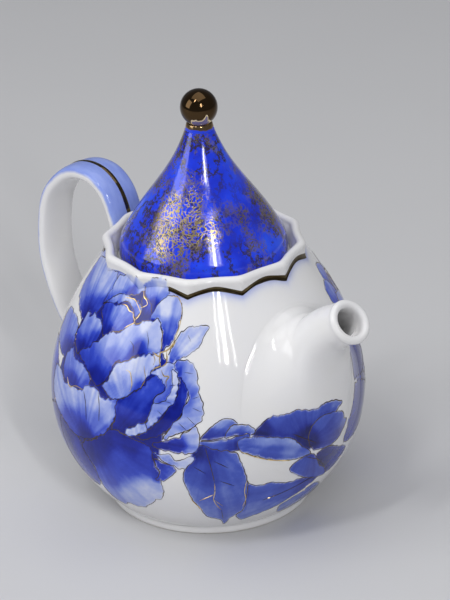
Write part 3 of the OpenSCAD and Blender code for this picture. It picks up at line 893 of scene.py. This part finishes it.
def carried_back(verts, facing):
    """Points of the spout that face the brush, moved back along it until they meet the belly."""
    moved = verts.copy()
    free = facing.copy()
    for step in np.arange(0, SPOUT_STANDS, 0.4):
        point = verts - BRUSH * step
        inside = np.hypot(point[:, 0], point[:, 1]) < belly_radius(point[:, 2]) + 0.1
        moved[free] = point[free]
        free &= ~inside
    return moved


def brush_reaches(place, normal):
    """Whether a point of the spout lies open to a brush coming straight from the front."""
    onto = Vector(BRUSH)
    if math.degrees(math.atan2(place.y, place.x)) - FRONT > FAR_SIDE or normal.dot(onto) <= 0:
        return False
    return SPOUT_TREE.ray_cast(place + normal * 0.3 * MM, onto)[0] is None


def laid(turn, s, lift, near=True):
    """Points of the painting on the belly, or on the spout where that stands in front."""
    points = on_surface(turn + FRONT, s, lift)
    for k in np.flatnonzero((turn > SPOUT_FROM) & (turn < SPOUT_TO)):
        onto = BRUSH if near else belly_normal(points[k])
        start = SPOUT_STANDS if near else FILLET_STANDS
        origin = Vector((points[k] + onto * start) * MM)
        hit, normal, _, _ = SPOUT_TREE.ray_cast(origin, Vector(-onto), start * MM)
        if hit is not None and (near or not brush_reaches(hit, normal)):
            points[k] = np.array(hit) / MM + np.array(normal) * lift
    return points


def on_outside(radius, height, turn):
    """Whether points lie on the outside; the inside of the pot and of the collar stays plain."""
    belly = radius > belly_radius(height) - 1.2
    wall = radius > wall_foot(turn + FRONT) - 0.3
    return belly | (wall & (height > crease_z(turn + FRONT) - 0.1))


def rim_crease_shade(turn, s):
    """Strength and evenness of the light blue painted shade that hangs below the gold line, in the
    crease under the fluted wall.
    """
    below = crease_s(turn + FRONT) - s
    # painted shade: strongest at the crease, fading over a few millimetres below it
    crease_shade = np.where(below > -0.6, 0.95 * np.exp(-(np.maximum(below, 0) / 3.4)**2), 0)
    return crease_shade, 0.8 + 0.2 * np.sin(np.radians(turn * 7)) * np.sin(np.radians(turn * 3 + 40))


def paint(piece):
    """Stores on every vertex how blue it is, how much blue covers the white, and if it is leaf."""
    verts = np.empty(len(piece.data.vertices) * 3)
    piece.data.vertices.foreach_get("co", verts)
    verts = verts.reshape(-1, 3) / MM
    radius = np.hypot(verts[:, 0], verts[:, 1])
    facing = np.zeros(len(verts), bool)
    if piece == spout:
        facing = np.array([brush_reaches(v.co, v.normal) for v in piece.data.vertices])
        verts = carried_back(verts, facing)
    turn, s = surface_place(verts)
    outside = on_outside(radius, verts[:, 2], turn)
    x = turn * FLAT
    # painted shade: light blue laid into the crease under the gold line, fading downward
    crease_shade, drift = rim_crease_shade(turn, s)
    cover = crease_shade * drift
    tone = 0.26 * crease_shade
    leaf = np.zeros(len(x))
    for shape in SHAPES:
        depth = shape.inside(x, s)
        if not shape.near:
            depth[facing] = -9
        # what is already painted darkens towards the edge of what lies over it
        near = depth > -6
        gap = -np.minimum(depth[near], 0)
        tone[near] += 0.22 * np.exp(-gap / 1.6) * cover[near] * (gap > 0)
        k = np.flatnonzero(depth > -0.5)
        if len(k) == 0:
            continue
        share = np.clip(depth[k] / 0.7 + 0.5, 0, 1)
        own = shape.tone(x[k], s[k]) - 0.10 * np.exp(-np.maximum(depth[k], 0) / 0.9)
        tone[k] += (np.clip(own, 0.02, 1) - tone[k]) * share
        cover[k] += (1 - cover[k]) * share
        leaf[k] += (shape.leaf - leaf[k]) * share
    if piece == spout:
        channel = slice((1 + FILLET_ROWS + SHANK_ROWS) * SPOUT_STEPS, None)
        cover[channel] = 0
        cover *= ~facing | (s < WHITE_FROM)
    add_attribute(piece, "tone", np.clip(tone, 0, 1))
    add_attribute(piece, "cover", cover * outside)
    add_attribute(piece, "leaf", leaf)


# ---- gold outlines -----------------------------------------------------------------------

OUTLINE_TOP = 116.3    # distance up the belly where the outlines meet the collar
OUTLINE_STEP = 0.8     # spacing of the points along them
STROKE_STEP = 0.5      # and along the strokes and veins


def ribbon(line, widths, thick, near=True):
    """Rings of a thin raised strip along a line of unrolled points."""
    ahead = np.gradient(line, axis=0)
    side = unit(np.stack([ahead[:, 1], -ahead[:, 0]], axis=-1))
    rings = []
    for across, lift in ((-1, -0.12), (-0.5, thick), (0.5, thick), (1, -0.12)):
        spot = line + side * (across * widths / 2)[:, None]
        rings.append(laid(spot[:, 0] / FLAT, spot[:, 1], lift, near))
    return np.stack(rings, axis=1)


# Gold laid over the petals, bright partly by its own colour and partly as painted highlight: (width,
# points)
GOLD_STROKES = [
    (0.55, [(-46, 102.3), (-43, 102.2), (-40.5, 100.8), (-38, 100.5), (-37, 99), (-35.5, 97.3),
            (-38, 95.5), (-40, 94)]),
    (0.5, [(-46, 105), (-40, 105.5), (-37, 104), (-35, 102.5), (-33.8, 101.5), (-34.5, 99.5),
           (-36, 97.5)]),
    (0.5, [(-36, 110.5), (-34.5, 107.5), (-32.5, 106.5), (-31.3, 105), (-33, 103.8),
           (-34.5, 103)]),
    (0.8, [(-13.5, 93), (-15.5, 90.5), (-18, 88.8), (-20, 88), (-20.5, 86.5), (-23.5, 87.8)]),
    (0.75, [(-20, 88), (-20, 85), (-19.5, 83), (-21.5, 82), (-23, 80)]),
    (0.75, [(-17.5, 89), (-17, 86.5), (-17, 84.5), (-18.5, 83), (-19.5, 83)]),
    (0.45, [(-23.5, 87.5), (-22, 85), (-22.5, 83)]),
    (0.6, [(-18.8, 81.5), (-17.5, 79.5), (-15.5, 79.5), (-16.5, 77.5), (-16, 75)]),
    (0.4, [(-20.5, 96), (-20, 91.5), (-20, 88)]),
    (0.6, [(-34, 79), (-32, 78.5), (-31, 76.5), (-30.3, 74), (-30.8, 71.3)]),
    (0.45, [(-26.3, 82), (-25.5, 79.5), (-25, 77), (-26.5, 73.5)]),
    (0.45, [(-19, 109.5), (-15, 109.5), (-12.4, 106), (-12.3, 101.5), (-13.2, 97), (-15, 92),
            (-17.5, 89)]),
    (0.5, [(-65, 65), (-62, 62.5), (-58, 64.5), (-53, 65)]),
    (0.5, [(1, 36), (1, 31), (0.5, 27), (1.5, 23), (3.5, 19)]),
    (0.45, [(0.8, 30), (-2, 28), (-5, 26)]),
    (0.4, [(1, 26), (4, 22)]),
    (0.5, [(-8.5, 31), (-7.5, 26), (-5.5, 22), (-4, 18)]),
    (0.45, [(12.5, 36), (12, 30), (12.8, 25), (12, 20)]),
    (0.5, [(10, 50), (14, 47.3), (20, 44.2), (29, 41)]),
]

# Thin dark veins and folds, in the same terms
VEINS = [
    (0.3, [(-35, 90), (-33, 88.5), (-32.3, 86)]),
    (0.3, [(-28, 95), (-26.5, 92), (-26, 88.5)]),
    (0.35, [(-2, 53), (0, 43), (1, 36)]),
    (0.3, [(3.5, 19), (4.5, 10)]),
    (0.3, [(1, 46.5), (6, 43)]),
    (0.3, [(3, 37), (8, 34)]),
    (0.3, [(-6, 44), (-2, 41)]),
    (0.3, [(-6, 71.5), (-3.5, 72.5)]),
    (0.3, [(-6, 68), (-2.8, 66.5)]),
    (0.3, [(-8, 64.5), (-5.2, 61.5)]),
    (0.3, [(-11, 62), (-8.5, 59.5)]),
    (0.3, [(-8.5, 95.5), (-7, 93)]),
    (0.3, [(-9.5, 81.5), (-6, 81)]),
    (0.3, [(-19, 66), (-17, 64.5)]),
    (0.3, [(-16.5, 70), (-14, 69.5)]),
    (0.3, [(-15, 76), (-12.5, 76.5)]),
    (0.3, [(-52.5, 64.5), (-50.5, 60), (-49.5, 54)]),
    (0.3, [(-45, 67), (-43.5, 62), (-43, 56)]),
    (0.3, [(30, 52.5), (36, 48), (40, 45)]),
    (0.35, [(20, 22), (30, 24), (42, 26.5)]),
    (0.3, [(36, 40), (43, 35), (49, 27)]),
]


def make_strokes(name, strokes, seed):
    """Hand-drawn strokes that swell and fade along their length."""
    strips = []
    for k, (width, points) in enumerate(strokes):
        line = spline(flat(points), 10)
        line = even(line, max(8, int(lengths(line)[-1] / STROKE_STEP)))
        wave = 1 + 0.22 * noise_line(seed + k, len(line), 5)
        taper = np.clip(from_ends(len(line)) / 4, 0.3, 1)
        widths = width * np.clip(wave, 0.5, 1.5) * taper
        strips.append(ribbon(line, widths, 0.13))
    return join_strips(name, strips, "pot")


def join_strips(name, strips, body):
    """Many closed strips as one piece."""
    verts, faces, first = [], [], 0
    for rings in strips:
        rows, cols = rings.shape[:2]
        verts.append(rings.reshape(-1, 3))
        faces += ring_faces(rows, cols, False, first)
        faces.append([first + j for j in range(cols)][::-1])
        faces.append([first + (rows - 1) * cols + j for j in range(cols)])
        first += rows * cols
    return make_object(name, np.vstack(verts), faces, body)


def make_outlines():
    """A fine gold line round every petal and leaf, wherever nothing lies over it."""
    strips = []
    for k, shape in enumerate(SHAPES):
        loop = np.vstack([shape.edge, shape.edge[:1]])
        line = even(loop, max(12, int(lengths(loop)[-1] / OUTLINE_STEP)))
        hidden = np.zeros(len(line), bool)
        for over in SHAPES[k + 1:]:
            hidden |= over.inside(line[:, 0], line[:, 1]) > 0.15
        hidden |= line[:, 1] > OUTLINE_TOP
        widths = np.clip(0.42 + 0.12 * noise_line(700 + k, len(line), 9), 0.2, 0.6)
        start = None
        for i in range(len(line) + 1):
            shown = i < len(line) and not hidden[i]
            if shown and start is None:
                start = i
            if not shown and start is not None:
                if i - start > 4:
                    strips.append(ribbon(line[start:i], widths[start:i], 0.07, shape.near))
                start = None
    return join_strips("gold_outlines", strips, "pot")


# ---- materials ---------------------------------------------------------------------------

class Recipe:
    """A small helper for building one procedural material."""

    def __init__(self, name, piece):
        self.material = bpy.data.materials.new(name)
        self.material.use_nodes = True
        self.tree = self.material.node_tree
        self.surface = self.tree.nodes["Principled BSDF"]
        piece.data.materials.clear()
        piece.data.materials.append(self.material)

    def node(self, kind, **settings):
        made = self.tree.nodes.new(kind)
        for key, value in settings.items():
            setattr(made, key, value)
        return made

    def link(self, source, target):
        self.tree.links.new(source, target)

    def place(self, scale=(1, 1, 1)):
        """Object coordinates, stretched."""
        where = self.node("ShaderNodeTexCoord")
        stretch = self.node("ShaderNodeMapping")
        stretch.inputs["Scale"].default_value = scale
        self.link(where.outputs["Object"], stretch.inputs["Vector"])
        return stretch.outputs["Vector"]

    def noise(self, scale, detail=3.0, stretch=(1, 1, 1), rough=0.5):
        texture = self.node("ShaderNodeTexNoise")
        texture.inputs["Scale"].default_value = scale
        texture.inputs["Detail"].default_value = detail
        texture.inputs["Roughness"].default_value = rough
        self.link(self.place(stretch), texture.inputs["Vector"])
        return texture.outputs["Fac"]

    def swing(self, amount, *noise):
        """Noise that swings evenly either side of nothing."""
        return self.math("MULTIPLY", self.math("SUBTRACT", self.noise(*noise), 0.5), amount)

    def height(self):
        """Height above the ground, in metres."""
        split = self.node("ShaderNodeSeparateXYZ")
        self.link(self.place(), split.inputs["Vector"])
        return split.outputs["Z"]

    def number(self, name):
        """A number stored on the vertices."""
        stored = self.node("ShaderNodeAttribute")
        stored.attribute_name = name
        return stored.outputs["Fac"]

    def math(self, operation, *values, clamp=False):
        step = self.node("ShaderNodeMath", operation=operation, use_clamp=clamp)
        for socket, value in zip(step.inputs, values):
            if isinstance(value, (int, float)):
                socket.default_value = value
            else:
                self.link(value, socket)
        return step.outputs[0]

    def ramp(self, value, stops):
        """Colours or greys along a value."""
        made = self.node("ShaderNodeValToRGB")
        band = made.color_ramp
        while len(band.elements) < len(stops):
            band.elements.new(0.5)
        for element, (where, colour) in zip(band.elements, stops):
            element.position = where
            grey = isinstance(colour, (int, float))
            element.color = (colour, colour, colour, 1) if grey else (*colour, 1)
        self.link(value, made.inputs["Fac"])
        return made.outputs["Color"]

    def mix(self, share, first, second):
        made = self.node("ShaderNodeMix", data_type="RGBA")
        for socket, value in ((made.inputs["Factor"], share), (made.inputs[6], first),
                              (made.inputs[7], second)):
            if isinstance(value, (int, float)):
                socket.default_value = value
            elif isinstance(value, tuple):
                socket.default_value = (*value, 1)
            else:
                self.link(value, socket)
        return made.outputs[2]

    def ripple(self, height, distance, strength):
        """A slight unevenness of the surface."""
        bump = self.node("ShaderNodeBump")
        bump.inputs["Strength"].default_value = strength
        bump.inputs["Distance"].default_value = distance * MM
        self.link(height, bump.inputs["Height"])
        self.link(bump.outputs["Normal"], self.surface.inputs["Normal"])

    def set(self, **values):
        for name, value in values.items():
            socket = self.surface.inputs[name.replace("_", " ")]
            if isinstance(value, bpy.types.NodeSocket):
                self.link(value, socket)
            else:
                socket.default_value = value


WHITE = (0.80, 0.80, 0.83)
WARM_WHITE = (0.82, 0.81, 0.79)


def porcelain_white(recipe):
    """Glazed white with the faintest cloudiness."""
    return recipe.mix(recipe.noise(60, 4), WHITE, WARM_WHITE)


def glaze(recipe):
    """The gloss of a clear glaze over porcelain, a little uneven."""
    polish = recipe.ramp(recipe.noise(90, 3), [(0.3, 0.05), (0.7, 0.10)])
    recipe.set(Roughness=polish, IOR=1.43, Coat_Weight=0.05, Coat_Roughness=0.03,
               Subsurface_Weight=0.12, Subsurface_Radius=(0.003, 0.003, 0.003),
               Subsurface_Scale=0.6)
    recipe.ripple(recipe.noise(55, 2), 0.25, 0.25)


def white_glaze(piece):
    """Plain glazed porcelain."""
    recipe = Recipe("white_glaze_" + piece.name, piece)
    recipe.set(Base_Color=porcelain_white(recipe))
    glaze(recipe)


BLUES = [(0.0, (0.64, 0.68, 0.86)), (0.14, (0.38, 0.45, 0.80)), (0.32, (0.16, 0.23, 0.70)),
         (0.55, (0.03, 0.065, 0.55)), (0.8, (0.006, 0.018, 0.34)), (1.0, (0.003, 0.008, 0.20))]
LEAF_BLUES = [(0.0, (0.48, 0.55, 0.80)), (0.2, (0.22, 0.30, 0.70)), (0.45, (0.055, 0.10, 0.52)),
              (0.75, (0.012, 0.026, 0.32)), (1.0, (0.003, 0.006, 0.12))]


def painted_glaze(piece):
    """White porcelain under blue enamel, brushed on in washes, with the painted shade under the gold
    line carried in the same tone and cover.
    """
    recipe = Recipe("painted_glaze_" + piece.name, piece)
    mottle = recipe.swing(0.16, 420, 5)
    cloud = recipe.swing(0.22, 110, 3)
    tone = recipe.math("ADD", recipe.number("tone"), recipe.math("ADD", mottle, cloud))
    petal = recipe.ramp(tone, BLUES)
    leaf = recipe.ramp(tone, LEAF_BLUES)
    blue = recipe.mix(recipe.number("leaf"), petal, leaf)
    recipe.set(Base_Color=recipe.mix(recipe.number("cover"), porcelain_white(recipe), blue))
    glaze(recipe)


def foot_glaze(piece):
    """White glaze that stops short of the bare standing edge."""
    recipe = Recipe("foot_glaze", piece)
    wander = recipe.math("MULTIPLY", recipe.noise(130, 3), 0.6 * MM)
    edge = recipe.math("SUBTRACT", recipe.height(), wander)
    glazed = recipe.ramp(recipe.math("DIVIDE", edge, MM), [(0.15, 0.0), (0.4, 1.0)])
    bare = recipe.mix(recipe.noise(800, 4), (0.62, 0.60, 0.56), (0.74, 0.72, 0.68))
    recipe.set(Base_Color=recipe.mix(glazed, bare, porcelain_white(recipe)),
               Roughness=recipe.ramp(glazed, [(0.0, 0.7), (1.0, 0.07)]), IOR=1.52)


def strap_glaze(piece):
    """Periwinkle on the strap's outer face, fading to white round its edges."""
    recipe = Recipe("strap_glaze", piece)
    face = recipe.math("ADD", recipe.number("outer_face"),
                       recipe.math("MULTIPLY", recipe.noise(160, 3), 0.5))
    blue = recipe.ramp(face, [(0.35, 0.0), (0.75, 1.0)])
    streak = recipe.mix(recipe.noise(120, 4, (1, 3, 1)), (0.17, 0.24, 0.68), (0.36, 0.46, 0.86))
    recipe.set(Base_Color=recipe.mix(blue, porcelain_white(recipe), streak))
    glaze(recipe)


GOLD = (0.84, 0.66, 0.34)
WORN_GOLD = (0.52, 0.35, 0.16)


def gold_lustre(piece, dark=0.0, rough=0.16):
    """Fired gold: bright, a little rubbed and uneven; dark dims it, partly for the gold's own dark tint
    and partly as painted reflection of dark surroundings, and below nothing brightens it as painted
    highlight.
    """
    recipe = Recipe("gold_lustre_" + piece.name, piece)
    # dark dims the gold: painted reflection of dark surroundings on the lines, the own dark of the
    # veins; a negative dark brightens it as painted highlight
    bright = tuple(c * (1 - dark) for c in GOLD)
    worn = tuple(c * (1 - dark) for c in WORN_GOLD)
    share = recipe.ramp(recipe.noise(260, 4), [(0.35, 0.0), (0.65, 1.0)])
    recipe.set(Base_Color=recipe.mix(share, worn, bright), Metallic=1.0,
               Roughness=recipe.ramp(recipe.noise(500, 3), [(0.3, rough * 0.6), (0.7, rough * 1.5)]))
    recipe.ripple(recipe.noise(320, 3), 0.05, 0.4)


COBALTS = [(0.3, (0.006, 0.02, 0.52)), (0.55, (0.012, 0.05, 0.82)), (0.75, (0.02, 0.10, 0.95))]


def cobalt_glaze(piece):
    """Deep ultramarine with gold crept into a fine net of cells, as if marbled, and dark lines painted
    in as reflection of dark surroundings in the gold.
    """
    recipe = Recipe("cobalt_glaze", piece)
    where = recipe.place()
    swirl = recipe.node("ShaderNodeTexNoise")
    swirl.inputs["Scale"].default_value = 70
    swirl.inputs["Detail"].default_value = 5
    recipe.link(where, swirl.inputs["Vector"])
    push = recipe.node("ShaderNodeVectorMath", operation="MULTIPLY_ADD")
    recipe.link(swirl.outputs["Color"], push.inputs[0])
    push.inputs[1].default_value = (0.016, 0.016, 0.016)
    recipe.link(where, push.inputs[2])
    nets = []
    for scale, wide in ((620, 0.13), (1300, 0.16)):
        cells = recipe.node("ShaderNodeTexVoronoi", feature="DISTANCE_TO_EDGE")
        cells.inputs["Scale"].default_value = scale
        recipe.link(push.outputs["Vector"], cells.inputs["Vector"])
        nets.append(recipe.ramp(cells.outputs["Distance"], [(wide * 0.4, 1.0), (wide, 0.0)]))
    patch = recipe.ramp(recipe.noise(48, 6, (1, 1, 0.55), 0.62), [(0.49, 0.0), (0.59, 1.0)])
    finer = recipe.ramp(recipe.noise(150, 5, (1, 1, 0.7), 0.6), [(0.50, 0.0), (0.62, 1.0)])
    coarse_net = recipe.math("MULTIPLY", nets[0], patch)
    fine_net = recipe.math("MULTIPLY", nets[1], recipe.math("MULTIPLY", patch, finer))
    spots = recipe.ramp(recipe.noise(240, 5, (1, 1, 0.8), 0.7), [(0.60, 0.0), (0.64, 1.0)])
    pools = recipe.math("MULTIPLY", patch, spots)
    net = recipe.math("MAXIMUM", coarse_net, fine_net)
    gold = recipe.math("MAXIMUM", net, pools, clamp=True)
    # painted reflection: near-black lines where the gold would mirror dark surroundings
    fold = recipe.math("ABSOLUTE", recipe.swing(1.0, 95, 7, (1, 1, 0.8), 0.72))
    thread = recipe.ramp(fold, [(0.014, 1.0), (0.035, 0.0)])
    regions = recipe.ramp(recipe.noise(30, 3), [(0.36, 0.0), (0.50, 1.0)])
    dark_reflection_lines = recipe.math("MULTIPLY", thread, regions)
    blue = recipe.ramp(recipe.noise(75, 5), COBALTS)
    blue_with_dark_reflection = recipe.mix(dark_reflection_lines, blue, (0.03, 0.02, 0.03))
    # the gold's tint is dimmed, partly as painted shade
    tint = recipe.mix(recipe.noise(60, 3), (0.16, 0.12, 0.04), (0.52, 0.41, 0.18))
    recipe.set(Base_Color=recipe.mix(gold, blue_with_dark_reflection, tint), Metallic=gold,
               Roughness=recipe.ramp(gold, [(0.0, 0.12), (1.0, 0.28)]), IOR=1.52,
               Coat_Weight=0.3, Coat_Roughness=0.05)
    recipe.ripple(gold, 0.04, 0.5)


def knob_gold(piece):
    """Polished gold, darkened as painted reflection of dark surroundings, with a ragged bright edge
    round a window of mauve glaze.
    """
    recipe = Recipe("knob_gold", piece)
    patch = recipe.math("ADD", recipe.number("patch"),
                        recipe.math("MULTIPLY", recipe.noise(450, 4), 0.25))
    window = recipe.ramp(patch, [(0.70, 1.0), (0.76, 0.0)])
    edge = recipe.ramp(patch, [(0.72, 0.0), (0.78, 1.0), (0.98, 1.0), (1.05, 0.0)])
    # painted reflection: the gold is made nearly black-brown for the dark surroundings it mirrors
    reflection_darkened_gilt = recipe.mix(recipe.noise(140, 3), (0.045, 0.028, 0.014), (0.10, 0.06, 0.028))
    rimmed = recipe.mix(edge, reflection_darkened_gilt, (0.90, 0.74, 0.44))
    outside = recipe.math("SUBTRACT", 1.0, window)
    metal = recipe.math("SUBTRACT", outside, recipe.math("MULTIPLY", edge, 0.6), clamp=True)
    rough = recipe.math("ADD", recipe.noise(300, 3), edge)
    recipe.set(Base_Color=recipe.mix(window, rimmed, (0.20, 0.17, 0.32)), Metallic=metal,
               Roughness=recipe.ramp(rough, [(0.3, 0.03), (0.7, 0.08), (1.4, 0.3)]))


def neck_glaze(piece):
    """Ultramarine running up into gold under the knob, darkened like the knob's as painted reflection of
    dark surroundings.
    """
    recipe = Recipe("neck_glaze", piece)
    wander = recipe.math("MULTIPLY", recipe.noise(300, 4), 2 * MM)
    above = recipe.math("SUBTRACT", recipe.math("ADD", recipe.height(), wander), LID_TOP * MM)
    gold = recipe.ramp(recipe.math("MULTIPLY", above, 200), [(0.40, 0.0), (0.46, 1.0)])
    # the gold colour is dimmed as painted reflection of dark surroundings
    recipe.set(Base_Color=recipe.mix(gold, (0.012, 0.05, 0.75), (0.30, 0.20, 0.10)),
               Metallic=gold, Roughness=recipe.ramp(recipe.noise(200, 3), [(0.3, 0.1), (0.7, 0.2)]))


def floor_finish(piece):
    """Plain pale studio floor."""
    recipe = Recipe("floor", piece)
    tint = recipe.mix(recipe.noise(8, 2), (0.60, 0.60, 0.61), (0.63, 0.63, 0.64))
    recipe.set(Base_Color=tint, Roughness=0.75)


# ---- the object --------------------------------------------------------------------------

body = make_body()
collar = make_collar()
spout = make_spout()
strap = make_handle()
lid = make_lid()
SPOUT_TREE = BVHTree.FromPolygons([v.co for v in spout.data.vertices],
                                  [list(f.vertices) for f in spout.data.polygons])
outlines = make_outlines()
for piece in (body, collar, spout):
    paint(piece)
    painted_glaze(piece)
for piece in (make_seat(), make_flange()):
    white_glaze(piece)
foot_glaze(make_foot())
strap_glaze(strap)
# The gold lines of rim and strap are darkened as painted reflection of dark surroundings; the outlines
# partly so and partly for their own brown
gold_lustre(make_rim_line(), dark=0.86, rough=0.10)
gold_lustre(make_strap_line(), dark=0.82, rough=0.10)
gold_lustre(outlines, dark=0.80)
# the strokes' gold is brightened, partly as painted highlight
gold_lustre(make_strokes("gold_strokes", GOLD_STROKES, 31), dark=-0.12, rough=0.32)
gold_lustre(make_strokes("dark_veins", VEINS, 71), dark=0.8)
cobalt_glaze(lid)
neck_glaze(make_neck())
knob_gold(make_knob())


# ---- studio ------------------------------------------------------------------------------

def make_floor():
    """A wide slab for the pot to stand on."""
    half = 3000
    thick = 20
    verts = [(x, y, z) for z in (-thick, 0) for x, y in ((-half, -half), (half, -half),
                                                         (half, half), (-half, half))]
    faces = [(3, 2, 1, 0), (4, 5, 6, 7), (0, 1, 5, 4), (1, 2, 6, 5), (2, 3, 7, 6), (3, 0, 4, 7)]
    mesh = bpy.data.meshes.new("floor")
    mesh.from_pydata((np.array(verts) * MM).tolist(), [], faces)
    mesh.update()
    floor = bpy.data.objects.new("floor", mesh)
    bpy.context.scene.collection.objects.link(floor)
    floor_finish(floor)


def around(degrees, distance, height):
    """A point in metres at an angle round the pot from its painted front."""
    a = math.radians(degrees + FRONT)
    return Vector((distance * math.cos(a), distance * math.sin(a), height))


MIDDLE = Vector((0, 0, 0.07))    # what the lights are aimed at


def make_light(name, where, wide, tall, watts):
    """A soft rectangular light aimed at the pot."""
    lamp = bpy.data.lights.new(name, "AREA")
    lamp.shape = "RECTANGLE"
    lamp.size = wide
    lamp.size_y = tall
    lamp.energy = watts
    holder = bpy.data.objects.new(name, lamp)
    holder.location = where
    holder.rotation_euler = (MIDDLE - where).to_track_quat("-Z", "Y").to_euler()
    bpy.context.scene.collection.objects.link(holder)


def make_studio():
    """Soft light from above and the left, and tall narrow lights that streak the glaze."""
    make_light("ceiling", Vector((0, 0, 1.5)), 1.4, 1.4, 7.8)
    make_light("left_softbox", around(-75, 1.2, 0.7), 0.7, 0.9, 5.5)
    make_light("window", around(16, 1.3, 0.95), 0.06, 0.50, 5.5)
    make_light("window_left_bar", around(10, 1.3, 0.95), 0.012, 0.45, 0.8)
    make_light("window_right_bar", around(23, 1.3, 0.95), 0.012, 0.60, 1.0)
    make_light("far_window", around(-40, 1.0, 1.7), 0.09, 0.5, 6.0)
    world = bpy.data.worlds.new("studio")
    world.use_nodes = True
    shade = world.node_tree.nodes["Background"]
    shade.inputs["Color"].default_value = (0.80, 0.82, 0.88, 1)
    shade.inputs["Strength"].default_value = 0.24
    bpy.context.scene.world = world


CAMERA_PLACE = Vector((0.6539, -0.6184, 0.5334))
CAMERA_LENS = 153.84       # millimetres, on a sensor 36 wide
CAMERA_HEADING = 46.11     # degrees, like the dip and the roll
CAMERA_DIP = 26.64
CAMERA_ROLL = -1.757


def make_camera():
    """The camera stands where the photographer stood, a little above the lid."""
    seen = bpy.data.cameras.new("camera")
    seen.sensor_width = 36
    seen.lens = CAMERA_LENS
    camera = bpy.data.objects.new("camera", seen)
    aim = (Matrix.Rotation(math.radians(CAMERA_HEADING), 4, "Z")
           @ Matrix.Rotation(math.radians(90 - CAMERA_DIP), 4, "X")
           @ Matrix.Rotation(math.radians(CAMERA_ROLL), 4, "Z"))
    camera.matrix_world = Matrix.Translation(CAMERA_PLACE) @ aim
    bpy.context.scene.collection.objects.link(camera)
    bpy.context.scene.camera = camera


make_floor()
make_studio()
make_camera()
bpy.context.scene.view_settings.view_transform = "Standard"
